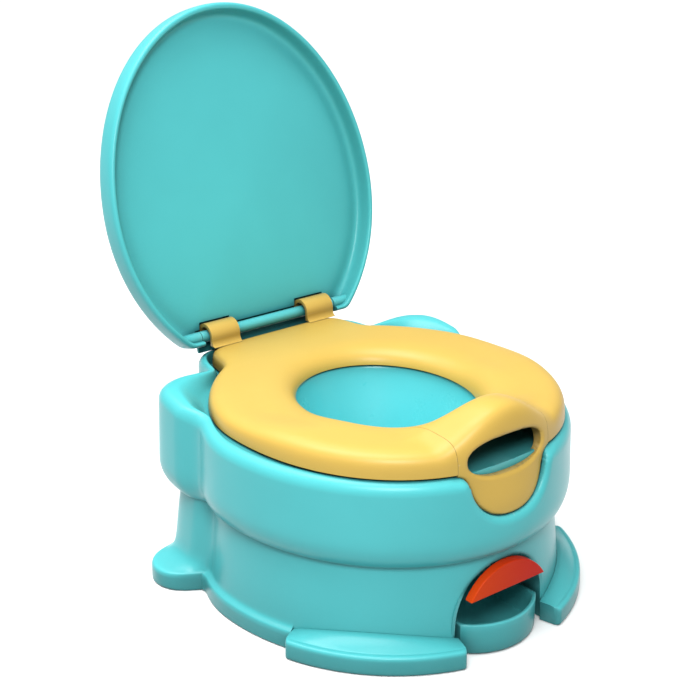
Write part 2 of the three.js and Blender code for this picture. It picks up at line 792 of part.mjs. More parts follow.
function lensShape() {
  const shape = new THREE.Shape();
  const { halfWidth, halfHeight, squareness, steps } = HAND_HOLE;
  for (let i = 0; i < steps; i += 1) {
    const angle = (2 * Math.PI * i) / steps;
    const radius = superRadius(angle, halfWidth, halfHeight, squareness);
    const [x, z] = [radius * Math.cos(angle), HAND_HOLE.z + radius * Math.sin(angle)];
    i === 0 ? shape.moveTo(x, z) : shape.lineTo(x, z);
  }
  return shape;
}

function splashGuard() {
  const { halfWidth, tongueHalfWidth, sections: count } = GUARD;
  const overTongue = Array.from({ length: count + 1 }, (_, i) =>
    tongueHalfWidth * Math.sin((Math.PI / 2) * ((2 * i) / count - 1)));
  const shoulder = [1 / 3, 2 / 3, 1].map((share) => lerp(tongueHalfWidth, halfWidth, share));
  const places = [...shoulder.map((x) => -x).reverse(), ...overTongue, ...shoulder];
  const sections = places.map((x) => {
    const path = guardPath(x);
    const back = insetPath(path, GUARD.wall).reverse();
    return [...path, ...back].map((p) => point(x, p.x, p.y));
  });
  const body = barLoft(sections, (p) => new THREE.Vector2(p.y, p.z));
  return cut(body, [extrudeAlongY(lensShape(), -BODY.front, frontOfRing(0) + HAND_HOLE.depth)]);
}

// ---------------------------------------------------------------- hinge and lid
function hookShape() {
  const { innerRadius, outerRadius, footZ, tipAngle } = HOOK;
  const shape = new THREE.Shape();
  const foot = footZ - HINGE.z;
  shape.moveTo(-outerRadius - HOOK.footLength, foot);
  shape.lineTo(-outerRadius - HOOK.ankle, foot + HOOK.footThickness);
  shape.lineTo(-outerRadius, 0);
  shape.absarc(0, 0, outerRadius, Math.PI, tipAngle, true);
  shape.absarc(0, 0, innerRadius, tipAngle, Math.PI, false);
  shape.lineTo(-innerRadius, foot);
  return shape;
}

function lidHook(side) {
  const x = side * HOOK.x;
  const hook = extrudeAlongX(hookShape(), x - HOOK.width / 2, x + HOOK.width / 2, 10);
  return hook.translate(0, HINGE.y, HINGE.z);
}

function hingeRod() {
  const { rodRadius, rodHalfLength, stubRadius, stubHalfLength } = HINGE;
  const profile = [
    [0, -stubHalfLength],
    [stubRadius, -stubHalfLength],
    [stubRadius, -rodHalfLength],
    [rodRadius, -rodHalfLength],
    [rodRadius, rodHalfLength],
    [stubRadius, rodHalfLength],
    [stubRadius, stubHalfLength],
    [0, stubHalfLength],
  ];
  const points = profile.map(([radius, x]) => new THREE.Vector2(radius, x));
  return new THREE.LatheGeometry(points, 16).rotateZ(-Math.PI / 2);
}

// The lid lies in its own frame: x across, y away from the rod, z towards its dished side.
function lidPoint(angle, scale, z) {
  const upward = Math.sin(angle) > 0;
  const x = LID.halfWidth * Math.cos(angle);
  const away = Math.max((upward ? LID.top : LID.bottom) * Math.sin(angle), LID.cut - LID.centre);
  return point(x * scale, LID.centre + away * scale, z);
}

// Dished side, lip, side wall and back, as [scale of the outline, local z].
function lidProfile() {
  const { lip, panel, back, rimBack } = LID;
  return [
    [0.5, panel],
    [0.9, panel + 0.6],
    [0.925, panel + 3],
    [0.932, lip - 3],
    [0.945, lip - 0.6],
    [0.965, lip],
    [0.985, lip - 0.8],
    [0.998, lip - 3.5],
    [1, 0],
    [1, rimBack + 5],
    [0.99, rimBack + 1.5],
    [0.96, rimBack],
    [0.86, rimBack],
    [0.82, back],
    [0.5, back - LID.backCrown],
  ];
}

function lid() {
  const angles = anglesAround(SEGMENTS.lid);
  const rings = lidProfile().map(([scale, z]) => angles.map((angle) => lidPoint(angle, scale, z)));
  const dishPole = point(0, LID.centre, LID.panel);
  const backPole = point(0, LID.centre, LID.back - LID.backCrown);
  const shell = bowlLoft(dishPole, rings, backPole);
  const lowY = LID.cut - 1;
  const highZ = LID.lip + 1;
  const rodSlot = boxBetween(
    point(-HINGE.rodHalfLength - GAP, lowY, LID.slotFloor),
    point(HINGE.rodHalfLength + GAP, HINGE.rodRadius + LID.rodClearance, highZ),
  );
  const slotHalfWidth = HOOK.width / 2 + LID.hookSideClearance;
  const hookSlots = [-1, 1].map((side) => boxBetween(
    point(side * HOOK.x - slotHalfWidth, lowY, LID.slotFloor),
    point(side * HOOK.x + slotHalfWidth, HOOK.outerRadius + LID.hookClearance, highZ),
  ));
  const boreLength = 2 * HINGE.stubHalfLength + 1;
  const bore = new THREE.CylinderGeometry(LID.boreRadius, LID.boreRadius, boreLength, 12);
  bore.rotateZ(Math.PI / 2);
  const bored = toSolid(cut(shell, [rodSlot, ...hookSlots, bore]));
  const stopBar = boxBetween(
    point(-LID.stopHalfWidth, LID.stopLowY, LID.rimBack),
    point(LID.stopHalfWidth, 0, LID.slotFloor),
  );
  return fromSolid(bored.add(toSolid(stopBar)));
}

// ---------------------------------------------------------------- tray and crescent
function trayOutline(inset) {
  const { noseRadius, noseY, halfWidth, rearY } = TRAY;
  const radius = noseRadius - inset;
  const half = halfWidth - inset;
  const start = Math.asin(half / radius);
  const corner = TRAY.cornerRadius - inset;
  const shape = new THREE.Shape();
  shape.absarc(0, noseY, radius, -Math.PI / 2 - start, -Math.PI / 2 + start, false);
  shape.lineTo(half, rearY - inset - corner);
  shape.absarc(half - corner, rearY - inset - corner, corner, 0, Math.PI / 2, false);
  shape.absarc(-half + corner, rearY - inset - corner, corner, Math.PI / 2, Math.PI, false);
  return shape;
}

function tray() {
  const { floorZ, rimZ, wall, floor } = TRAY;
  const outer = extrude(trayOutline(0), rimZ - floorZ, 10);
  const inner = extrude(trayOutline(wall), rimZ, 10);
  return cut(outer.translate(0, 0, floorZ), [inner.translate(0, 0, floorZ + floor)]);
}

// The coloured plate that fills the crown of the arch above its chord.
function crescent() {
  const width = ARCH.shoulderHalfWidth - CRESCENT.clearance;
  const rise = ARCH.crownZ - ARCH.springZ - CRESCENT.clearance;
  const start = Math.asin((CRESCENT.chordZ - ARCH.springZ) / rise);
  const shape = new THREE.Shape();
  shape.absellipse(0, ARCH.springZ, width, rise, start, Math.PI - start, false);
  return extrudeAlongY(shape, CRESCENT.frontY, CRESCENT.frontY + CRESCENT.thickness, 20);
}

// ---------------------------------------------------------------- seat bumpers
function seatBumper(degrees) {
  const angle = THREE.MathUtils.degToRad(degrees);
  const place = polar(angle, seatRadius(angle, BUMPER.inset), 0);
  const { width, depth } = BUMPER;
  const low = DECK.topZ + BUMPER.deckGap;
  const high = SEAT.undersideZ + BUMPER.rise;
  const pad = boxBetween(point(-depth / 2, -width / 2, low), point(depth / 2, width / 2, high));
  return pad.rotateZ(angle).translate(place.x, place.y, 0);
}

// ---------------------------------------------------------------- materials and assembly
const plastic = (color, roughness) => new THREE.MeshStandardMaterial({ color, roughness, metalness: 0 });
const TEAL = plastic(0x5cc9cc, 0.25);
const POT_TEAL = plastic(0x62d2da, 0.18);
const YELLOW = plastic(0xf0c85a, 0.35);
const ORANGE = plastic(0xe8501c, 0.3);
const RUBBER_GREY = plastic(0x3b4445, 0.85);
const STEEL = new THREE.MeshStandardMaterial({ color: 0xb8bcc0, roughness: 0.35, metalness: 1 });

const chair = new THREE.Group();

function addPiece(name, geometry, material, parent = chair) {
  const mesh = new THREE.Mesh(geometry, material);
  mesh.name = name;
  parent.add(mesh);
}

addPiece("upper_body", upperBody(), TEAL);
addPiece("pedestal", pedestal(), TEAL);
addPiece("pot", pot(), POT_TEAL);
addPiece("seat_ring", seatRing(), YELLOW);
addPiece("splash_guard", splashGuard(), YELLOW);
addPiece("tray", tray(), TEAL);
addPiece("arch_crescent", crescent(), ORANGE);

for (const [side, label] of [[-1, "left"], [1, "right"]]) {
  const rearFoot = PEDESTAL.rearFoot;
  addPiece(`front_foot_${label}`, frontFoot(side), TEAL);
  addPiece(`lid_hook_${label}`, lidHook(side), YELLOW);
  const frontPad = frontFootPadPlace(side);
  addPiece(`rubber_pad_front_${label}`, rubberPad(frontPad.x, frontPad.y), RUBBER_GREY);
  addPiece(`rubber_pad_rear_${label}`, rubberPad(side * rearFoot.x, rearFoot.y), RUBBER_GREY);
}

screwPlaces().forEach((place, i) => addPiece(`body_screw_${i + 1}`, screw(place), STEEL));
BUMPER.angles.forEach((degrees, i) => addPiece(`seat_bumper_${i + 1}`, seatBumper(degrees), RUBBER_GREY));

const hinge = new THREE.Group();
hinge.position.set(0, HINGE.y, HINGE.z);
hinge.rotation.x = Math.PI / 2 - LID.tilt;
chair.add(hinge);
addPiece("lid", lid(), TEAL, hinge);
addPiece("lid_hinge_rod", hingeRod(), TEAL, hinge);

// Shift the design frame so that the standing chair's box is centred over the origin.
const box = new THREE.Box3().setFromObject(chair, true);
chair.position.y = -(box.min.y + box.max.y) / 2;
const part = new THREE.Group();
part.add(chair);

export default part;
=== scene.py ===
"""Potty training chair: fine moulded surfaces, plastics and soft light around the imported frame.

Shapes are worked out in millimetres in the chair's design frame, where +Z is up and the front faces
-Y. place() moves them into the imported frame, in metres.
"""

import math
from types import SimpleNamespace as Sizes

import bmesh
import bpy
import numpy as np
from mathutils import Matrix, Vector


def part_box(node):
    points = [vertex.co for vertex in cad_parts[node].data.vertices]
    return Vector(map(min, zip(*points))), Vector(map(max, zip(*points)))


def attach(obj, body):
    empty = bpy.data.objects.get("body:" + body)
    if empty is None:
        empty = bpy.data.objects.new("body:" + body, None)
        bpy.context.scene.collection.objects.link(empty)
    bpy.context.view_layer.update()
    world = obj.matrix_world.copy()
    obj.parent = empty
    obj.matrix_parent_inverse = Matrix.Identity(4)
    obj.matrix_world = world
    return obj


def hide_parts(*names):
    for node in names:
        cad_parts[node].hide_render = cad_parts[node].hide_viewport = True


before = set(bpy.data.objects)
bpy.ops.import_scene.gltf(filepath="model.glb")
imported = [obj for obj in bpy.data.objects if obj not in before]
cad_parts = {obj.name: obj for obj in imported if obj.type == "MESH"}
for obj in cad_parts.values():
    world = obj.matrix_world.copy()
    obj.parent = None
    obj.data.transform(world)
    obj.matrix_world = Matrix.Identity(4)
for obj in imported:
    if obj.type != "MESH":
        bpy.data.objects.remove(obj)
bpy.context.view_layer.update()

# -------- driving dimensions
MM = 0.001
GAP = 0.3
WALL = 4
CENTRE_Y = 60

BODY = Sizes(
    half_width=180, front=199, rear=150,
    block_half_width=179, block_rear=141, block_squareness=8,
    valley_start=0.262, valley_end=0.419,
    neck_half_width=103, neck_rear=186, neck_squareness=7, blend=9,
    waist_z=93, rim_z=179, shoulder_rise=15, rise_start_y=55, rise_length=130,
    neck_share=0.77, neck_fade=55, roll_height=27, roll_depth=16,
    edge_height=12, edge_depth=10, taper=0.03, taper_start_z=125,
    corbel_top_z=158, corbel_depth=66, corbel_power=1.3,
)
# The deck carries the seat. Its stepped opening is given as scales of the pot's own outline.
DECK = Sizes(
    top_z=178.5, underside_z=174.5, ledge_z=171, ledge_underside_z=167.5, lip_z=160,
    seat_clearance=1.5, opening=1.17, ledge=1.03, lip_back=1.06, ledge_back=1.2,
)
PEDESTAL = Sizes(
    floor_z=1, flange_top_z=20, flange=6, flange_blend=6, reach_at_front_feet=0.4,
    top_inset=14, foot_inset=7, block_extra_inset=1.5, ledge_width=17, ledge_thickness=4.5,
)
REAR_FOOT = Sizes(x=165, y=152, radius=33)
ARCH = Sizes(
    half_width=55, shoulder_half_width=53, spring_z=30.5, crown_z=84.5,
    wall=3.5, depth=85, jacket_setback=18, round_width=3.5, round_depth=2.5, reach=40,
)
FRONT_FOOT = Sizes(
    arc_centre_y=34, arc_radius=187, inner_x=51, outer_angle=0.49,
    top_z=19.5, crown_z=30, wall_clearance=0.8, end_round=4.0,
)
SEAT = Sizes(
    half_width=164, front=188, rear=150, front_squareness=2.2,
    tab_half_width=86, tab_rear=172, tab_squareness=11, tab_blend=20,
    underside_z=181.5, top_z=204, rear_top_z=198, slope_y=(-20, 80),
    rear_edge_breadth=0.45, rear_edge_y=(130, 200), wall=3.5,
)
# Rows over the seat's outer edge and down its funnel: distance, share of the height, then the
# distance under the guard's full hump and the share of the hump that the point climbs.
EDGE = [
    (0, 0, 0, 0), (0.3, 0.22, 0.3, 0.2), (0.9, 0.46, 0.8, 0.42), (2.8, 0.7, 2.2, 0.72),
    (7.5, 0.89, 6, 0.92), (15, 0.985, 12.5, 0.99), (26, 1, 22, 1),
]
FUNNEL = [
    (36, 1, 38, 0.97), (30, 0.99, 31, 0.83), (22, 0.95, 22, 0.45),
    (13, 0.86, 13, 0.14), (5, 0.6, 5, 0.02), (1, 0.25, 1, 0), (0, 0, 0, 0),
]
HOLE = Sizes(y=41, half_width=82, half_length=96)
GUARD = Sizes(
    half_width=54, hump=30, hump_foot=72, wall=4.5, fan=math.radians(42),
    tongue_half_width=45, tongue_drop=47, tongue_bulge=6, flare=11,
    edge_round_width=2.2, edge_round_depth=1.8,
)
HAND_HOLE = Sizes(
    half_width=44, half_height=18, z=189.5, squareness=2.3, cut_depth=22,
    jamb_low=8, jamb_high=15, jamb_z=(172, 207), jamb_wall=3, jamb_setback=2.4,
    round_width=4, round_depth=3,
)
NOTCH = Sizes(clearance=1.2, back_y=-121, round_width=8, round_depth=5, reach=30)
POT = Sizes(half_width=90, half_length=104, floor_z=84, wall=3)
HINGE = Sizes(
    y=239, z=206, rod_radius=6, rod_half_length=83.7,
    stub_radius=2.7, stub_half_length=91.7, bore_radius=3,
)
HOOK = Sizes(
    x=60, width=34, inner_radius=9.4, outer_radius=13, foot_z=198.3,
    foot_spread=5, foot_lift=6, end_angle=-0.7, tip_angle=-0.78, round=1.1,
)
LID = Sizes(
    tilt=math.radians(15.3), half_width=159, top=198.6, bottom=180, centre=131,
    cut=-9, cut_blend=4, lip=10.4, panel=-4.4, back=-9, rim_back=-17.1,
    slot_floor=-13.4, rod_clearance=0.7, hook_side_clearance=1.5, hook_clearance=1.2,
    stop_half_width=80, stop_low_y=-18, boss_half_length=104,
)
TRAY = Sizes(
    nose_radius=62, nose_y=-81, half_width=47, rear_y=30, corner=12,
    least_corner=2, floor_z=2, rim_z=31, wall=4, floor=3,
)
CRESCENT = Sizes(chord_z=57.5, thickness=9, front_y=-133, clearance=0.6, round=1.6)
SCREW = Sizes(hole=2.4, from_ledge_edge=6, angles=[60, 120, 190, 235, 305, 350])
RUBBER = Sizes(radius=6.5, height=4.2, clearance=0.4, front_angle=0.75, front_offset=9)

CAMERA = Sizes(
    azimuth=math.radians(232.29), elevation=math.radians(21.12), roll=math.radians(-0.16),
    eye=(-825.26, -952.48, 742.85), lens=77.95, sensor=36,
)
SURROUND = 0.42
SUN = Sizes(energy=2.3, spread=math.radians(35), towards=(-0.14, 0.1, 1.0))
# Soft lamps in metres and watts: position, target, size, power.
LAMPS = {
    "top_back": ((-0.35, 0.75, 1.7), (0, 0, 0.2), (1.8, 1.0), 17),
    "front": ((-0.95, -1.35, 1.65), (0, 0, 0.2), (0.6, 0.6), 25),
    "lid_side": ((-0.6, -0.55, 0.8), (0, 0.2, 0.4), (0.3, 0.3), 2.2),
}
FLOOR = Sizes(half_size=30.0, grey=0.95, roughness=0.75)

rod_low, rod_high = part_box("lid_hinge_rod")
SHIFT_Y = (rod_low.y + rod_high.y) / 2 / MM - HINGE.y
FRONT_Y = CENTRE_Y - BODY.front
STRAIGHT_AHEAD = -math.pi / 2
# How far the cutters run past the pieces that they open.
OVERRUN = 20


# -------- small maths, all on arrays
def smoothstep(value, low, high):
    share = np.clip((np.asarray(value, float) - low) / (high - low), 0, 1)
    return share * share * (3 - 2 * share)


def lerp(a, b, share):
    return a + (b - a) * share


def smooth_max(a, b, blend):
    share = np.maximum(blend - np.abs(a - b), 0) / blend
    return np.maximum(a, b) + share * share * blend / 4


def super_radius(angle, a, b, squareness):
    """Polar radius of a superellipse with half sizes a along X and b along Y."""
    along_x = np.abs(np.cos(angle) / a) ** squareness
    along_y = np.abs(np.sin(angle) / b) ** squareness
    return (along_x + along_y) ** (-1 / squareness)


def quarter_round(distance, height, depth):
    rest = np.clip(1 - distance / height, 0, 1)
    return depth * (1 - np.sqrt(1 - rest * rest))


def polar(angle, radius, z):
    """Points about the upright line at CENTRE_Y, with x, y and z along the last axis."""
    return np.stack(np.broadcast_arrays(radius * np.cos(angle), CENTRE_Y + radius * np.sin(angle), z), -1)


def arc(angle, radius, x=0.0, y=0.0):
    """Flat points at the given angles round (x, y)."""
    return np.stack([x + radius * np.cos(angle), y + radius * np.sin(angle)], -1)


def full_turn(count):
    return 2 * math.pi * np.arange(count) / count


def spline(points, steps):
    """An open uniform cubic B-spline along the second last axis, with steps points to each span."""
    first, last = points[..., :1, :], points[..., -1:, :]
    points = np.concatenate([first, first, points, last, last], -2)
    spans = np.arange(1, points.shape[-2] - 2)
    t = np.arange(steps)[:, None] / steps
    basis = np.hstack([(1 - t) ** 3, 3 * t**3 - 6 * t**2 + 4, -3 * t**3 + 3 * t**2 + 3 * t + 1, t**3]) / 6
    around = points[..., spans[:, None] + np.arange(-1, 3), :]
    smooth = np.einsum("...mkc,sk->...msc", around, basis)
    smooth = smooth.reshape(*smooth.shape[:-3], -1, smooth.shape[-1])
    return np.concatenate([smooth, last], -2)


def angles_around(count, front_count=0, front_span=0.0):
    """Angles all the way round, with front_count of them in a finer span about the front."""
    start = STRAIGHT_AHEAD
    if not front_count:
        return start + full_turn(count)
    front = np.linspace(start - front_span, start + front_span, front_count, endpoint=False)
    rest = np.linspace(start + front_span, start + 2 * math.pi - front_span, count, endpoint=False)
    return np.concatenate([front, rest])


# -------- mesh making
def ring_faces(rows, columns):
    """Quads of a grid that is closed both ways, with columns points to each row."""
    i, j = np.meshgrid(np.arange(rows), np.arange(columns), indexing="ij")
    next_i, next_j = (i + 1) % rows, (j + 1) % columns
    corners = [i * columns + j, next_i * columns + j, next_i * columns + next_j, i * columns + next_j]
    return np.stack([c.ravel() for c in corners], -1).tolist()


def bar_faces(rows, columns):
    """Quads of a row of closed sections, with one flat cap at each end."""
    quads = ring_faces(rows, columns)[: (rows - 1) * columns]
    last = (rows - 1) * columns
    return quads + [list(range(columns)), list(range(last + columns - 1, last - 1, -1))]


def make_object(name, points, faces):
    mesh = bpy.data.meshes.new(name)
    mesh.from_pydata(np.asarray(points).reshape(-1, 3).tolist(), [], faces)
    work = bmesh.new()
    work.from_mesh(mesh)
    bmesh.ops.remove_doubles(work, verts=work.verts, dist=1e-4)
    bmesh.ops.recalc_face_normals(work, faces=work.faces)
    work.to_mesh(mesh)
    work.free()
    made = bpy.data.objects.new(name, mesh)
    bpy.context.scene.collection.objects.link(made)
    return made


def ring_object(name, sections):
    return make_object(name, sections, ring_faces(sections.shape[0], sections.shape[1]))


def bar_object(name, sections):
    return make_object(name, sections, bar_faces(sections.shape[0], sections.shape[1]))


def prism(outline, start, end, axis):
    """A flat outline drawn out along an axis. It holds pairs of the other two coordinates."""
    rows = [np.insert(outline, "xyz".index(axis), at, axis=1) for at in (start, end)]
    return bar_object("prism", np.stack(rows))


def box_object(low, high):
    outline = np.array([(low[1], low[2]), (high[1], low[2]), (high[1], high[2]), (low[1], high[2])], float)
    return prism(outline, low[0], high[0], "x")


def cylinder(radius, x, y, low_z, high_z, sides=32):
    return prism(arc(full_turn(sides), radius, x, y), low_z, high_z, "z")


def stacked(name, profile, steps, count, point_at):
    """A closed body of rings, one for each (scale, z) of a smoothed profile."""
    angle = angles_around(count)
    rows = [point_at(angle, scale, z) for scale, z in spline(np.array(profile, float), steps)]
    return bar_object(name, np.stack(rows))


def lathe_along_x(name, profile, sides=64):
    """Turns (radius, x) pairs, from axis to axis, into a round bar along X."""
    rows = [np.insert(arc(full_turn(sides), radius), 0, x, axis=1) for radius, x in profile]
    return bar_object(name, np.stack(rows))


def apply_modifiers(piece):
    graph = bpy.context.evaluated_depsgraph_get()
    mesh = bpy.data.meshes.new_from_object(piece.evaluated_get(graph))
    piece.modifiers.clear()
    piece.data = mesh


def combine(piece, others, operation):
    """Cuts or joins piece with each of the others, which are used up."""
    for other in others:
        modifier = piece.modifiers.new(operation, "BOOLEAN")
        modifier.operation = operation
        modifier.solver = "EXACT"
        modifier.object = other
        apply_modifiers(piece)
        bpy.data.objects.remove(other)
    return piece


def round_edges(piece, width, segments=3, angle=35):
    modifier = piece.modifiers.new("round", "BEVEL")
    modifier.width = width
    modifier.segments = segments
    modifier.limit_method = "ANGLE"
    modifier.angle_limit = math.radians(angle)
    modifier.use_clamp_overlap = True
    apply_modifiers(piece)
    return piece


def place(piece, material, body, node, matrix=Matrix.Identity(4), sharp=40):
    """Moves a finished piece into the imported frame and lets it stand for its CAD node."""
    to_frame = Matrix.Scale(MM, 4) @ Matrix.Translation((0, SHIFT_Y, 0)) @ matrix
    piece.data.transform(to_frame)
    piece.data.materials.clear()
    piece.data.materials.append(material)
    piece.data.shade_smooth()
    piece.data.set_sharp_from_angle(angle=math.radians(sharp))
    piece.name = f"fine_{node}"
    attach(piece, body)
    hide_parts(node)
    return piece


def distance_to(outline, x, z):
    """Distance of each point to a dense outline of (x, z) pairs, taken in blocks to save memory."""
    flat = np.stack([x.ravel(), z.ravel()], -1)
    blocks = np.array_split(flat, max(len(flat) // 4000, 1))
    near = [np.sqrt(((block[:, None] - outline[None]) ** 2).sum(-1)).min(1) for block in blocks]
    return np.concatenate(near).reshape(x.shape)


# -------- camera, light and floor
def add_to_scene(name, data, matrix):
    made = bpy.data.objects.new(name, data)
    made.matrix_world = matrix
    bpy.context.scene.collection.objects.link(made)
    return made


def turned(direction, axis):
    """A matrix that turns the given axis of a lamp or camera, Z or -Z, into a direction."""
    return Vector(direction).to_track_quat(axis, "Y").to_matrix().to_4x4()


def make_camera():
    """Seen from the front left and a little above."""
    azimuth, elevation = CAMERA.azimuth, CAMERA.elevation
    flat = math.cos(elevation)
    back = (flat * math.cos(azimuth), flat * math.sin(azimuth), math.sin(elevation))
    eye = (Vector(CAMERA.eye) + Vector((0, SHIFT_Y, 0))) * MM
    data = bpy.data.cameras.new("camera")
    data.sensor_width = CAMERA.sensor
    data.lens = CAMERA.lens
    turn = turned(back, "Z") @ Matrix.Rotation(CAMERA.roll, 4, "Z")
    bpy.context.scene.camera = add_to_scene("camera", data, Matrix.Translation(eye) @ turn)


def area_light(name, position, target, size, power):
    light = bpy.data.lights.new(name, "AREA")
    light.shape = "RECTANGLE"
    light.size, light.size_y = size
    light.energy = power
    direction = Vector(target) - Vector(position)
    add_to_scene(name, light, Matrix.Translation(position) @ turned(direction, "-Z"))


def make_floor():
    """A pale floor without an edge in view, which doesn't throw its light back onto the chair."""
    size = FLOOR.half_size
    corners = [(-size, -size, 0), (size, -size, 0), (size, size, 0), (-size, size, 0)]
    floor = make_object("floor", corners, [[0, 1, 2, 3]])
    paint = Nodes("floor_paint")
    paint.set("Base Color", (FLOOR.grey,) * 3)
    paint.set("Roughness", FLOOR.roughness)
    floor.data.materials.append(paint.material)
    floor.visible_diffuse = False


def make_studio():
    """A white surround, an overhead sun as wide as a soft box, and soft lamps."""
    scene = bpy.context.scene
    scene.view_settings.view_transform = "Standard"
    scene.world = bpy.data.worlds.new("surround")
    scene.world.use_nodes = True
    background = scene.world.node_tree.nodes["Background"]
    background.inputs["Color"].default_value = (1, 1, 1, 1)
    background.inputs["Strength"].default_value = SURROUND
    sun = bpy.data.lights.new("sun", "SUN")
    sun.energy = SUN.energy
    sun.angle = SUN.spread
    add_to_scene("sun", sun, turned(SUN.towards, "Z"))
    for name, settings in LAMPS.items():
        area_light(name, *settings)
    make_floor()


# -------- materials
def linear(red, green, blue):
    """A colour given as three bytes, as the linear values that shaders use."""
    values = [channel / 255 for channel in (red, green, blue)]
    return tuple(v / 12.92 if v <= 0.04045 else ((v + 0.055) / 1.055) ** 2.4 for v in values)


# Moulded plastic's texture and the painted shade in its creases. Scales are in waves per metre, depths and
# reaches in metres.
PLASTIC = Sizes(
    cloud_scale=9, mark_scale=24, scuff_scale=320, scuff_stretch=(0.04, 1, 1),
    grain_scale=1500, grain_depth=0.00004, grain_strength=0.35,
    crease_reach=0.08, crease_shade=0.28, edge_pale=0.25, glow=0.06, glow_depth=0.004,
)


class Nodes:
    """Short ways to add, set and link shader nodes."""

    def __init__(self, name):
        self.material = bpy.data.materials.new(name)
        self.material.use_nodes = True
        self.tree = self.material.node_tree
        self.shader = self.tree.nodes["Principled BSDF"]
        self.place = self.add("ShaderNodeTexCoord").outputs["Object"]

    def add(self, kind, **settings):
        node = self.tree.nodes.new(kind)
        for name, value in settings.items():
            setattr(node, name, value)
        return node

    def feed(self, target, source):
        """Gives an input a number, a colour or vector, or the output of another node."""
        if isinstance(source, tuple):
            target.default_value = (*source, 1)[: len(target.default_value)]
        elif isinstance(source, (int, float)):
            target.default_value = source
        else:
            self.tree.links.new(source, target)

    def set(self, name, source):
        self.feed(self.shader.inputs[name], source)

    def noise(self, scale, detail=2.0, stretch=(1, 1, 1)):
        mapping = self.add("ShaderNodeMapping")
        self.feed(mapping.inputs["Scale"], stretch)
        self.feed(mapping.inputs["Vector"], self.place)
        noise = self.add("ShaderNodeTexNoise")
        self.feed(noise.inputs["Scale"], scale)
        self.feed(noise.inputs["Detail"], detail)
        self.feed(noise.inputs["Vector"], mapping.outputs["Vector"])
        return noise.outputs["Fac"]

    def remap(self, source, low, high, from_low=0.3, from_high=0.7):
        remap = self.add("ShaderNodeMapRange")
        values = {"From Min": from_low, "From Max": from_high, "To Min": low, "To Max": high}
        for name, value in values.items():
            self.feed(remap.inputs[name], value)
        self.feed(remap.inputs["Value"], source)
        return remap.outputs["Result"]

    def mix(self, share, first, second):
        """A colour between first and second, each an output or three linear values."""
        mix = self.add("ShaderNodeMix", data_type="RGBA")
        for name, source in (("Factor", share), ("A", first), ("B", second)):
            self.feed(mix.inputs[name], source)
        return mix.outputs["Result"]

    def total(self, first, second):
        node = self.add("ShaderNodeMath", operation="ADD")
        self.feed(node.inputs[0], first)
        self.feed(node.inputs[1], second)
        return node.outputs[0]

    def bump(self, height, strength, depth):
        node = self.add("ShaderNodeBump")
        for name, source in (("Height", height), ("Strength", strength), ("Distance", depth)):
            self.feed(node.inputs[name], source)
        self.set("Normal", node.outputs["Normal"])


def tinted(colour, factor):
    return tuple(min(channel * factor, 1.0) for channel in colour)


def moulded_finish(nodes, roughness, coat, shine, glow):
    """Finger marks, hairline scuffs, fine grain, a thin coat and a little light under the skin."""
    marks = nodes.remap(nodes.noise(PLASTIC.mark_scale, 4), -0.03, 0.04, 0.2, 0.8)
    scuff_noise = nodes.noise(PLASTIC.scuff_scale, 1, PLASTIC.scuff_stretch)
    scuffs = nodes.remap(scuff_noise, 0, 0.05, 0.55, 0.9)
    nodes.set("Roughness", nodes.total(nodes.total(marks, scuffs), roughness))
    nodes.bump(nodes.noise(PLASTIC.grain_scale, 2), PLASTIC.grain_strength, PLASTIC.grain_depth)
    nodes.set("Specular IOR Level", shine)
    nodes.set("Coat Weight", coat)
    nodes.set("Coat Roughness", roughness * 0.6)
    nodes.set("Subsurface Weight", glow)
    nodes.set("Subsurface Radius", (PLASTIC.glow_depth,) * 3)
    nodes.set("Subsurface Scale", 1.0)
    return nodes.material


def moulded_plastic(name, colour, roughness, coat, shine):
    """Moulded polypropylene: cloudy pigment, paler on sharp convex edges, with painted shade that darkens
    it in creases and under overhangs.
    """
    nodes = Nodes(name)
    cloud = nodes.remap(nodes.noise(PLASTIC.cloud_scale, 3), 0, 1)
    pigment = nodes.mix(cloud, tinted(colour, 0.96), tinted(colour, 1.03))
    # The colour is made paler on sharp convex edges, found from the mesh's pointiness.
    bend = nodes.add("ShaderNodeNewGeometry").outputs["Pointiness"]
    pale = tuple(lerp(channel, 1, PLASTIC.edge_pale) for channel in colour)
    edge_paled = nodes.mix(nodes.remap(bend, 0, 0.3, 0.52, 0.62), pigment, pale)
    # Painted shade: ambient occlusion darkens the colour towards crease_shade in creases, hollows and under
    # overhangs such as the belly's roll.
    crease = nodes.add("ShaderNodeAmbientOcclusion", samples=6)
    nodes.feed(crease.inputs["Distance"], PLASTIC.crease_reach)
    open_share = nodes.remap(crease.outputs["AO"], 0, 1, 0.2, 0.9)
    nodes.set("Base Color", nodes.mix(open_share, tinted(colour, PLASTIC.crease_shade), edge_paled))
    return moulded_finish(nodes, roughness, coat, shine, PLASTIC.glow)


def crescent_plastic():
    """The arch plate is red-orange, painted lighter and more orange towards its left tip and darker red
    towards its right one, as if lit from the left.
    """
    nodes = Nodes("crescent_plastic")
    low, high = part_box("arch_crescent")
    split = nodes.add("ShaderNodeSeparateXYZ")
    nodes.feed(split.inputs["Vector"], nodes.place)
    # Painted light: the colour runs from a lit orange at the left tip to a shaded red at the right tip.
    along = nodes.remap(split.outputs["X"], 0, 1, low.x, high.x)
    nodes.set("Base Color", nodes.mix(along, linear(210, 66, 4), linear(190, 18, 10)))
    return moulded_finish(nodes, roughness=0.42, coat=0.0, shine=0.15, glow=0.0)


def rubber():
    nodes = Nodes("rubber")
    base = linear(52, 60, 62)
    cloud = nodes.remap(nodes.noise(60, 3), 0, 1)
    nodes.set("Base Color", nodes.mix(cloud, base, tinted(base, 1.5)))
    nodes.set("Roughness", nodes.remap(nodes.noise(400, 2), 0.75, 0.95))
    nodes.bump(nodes.noise(900, 3), 0.5, 0.0002)
    return nodes.material


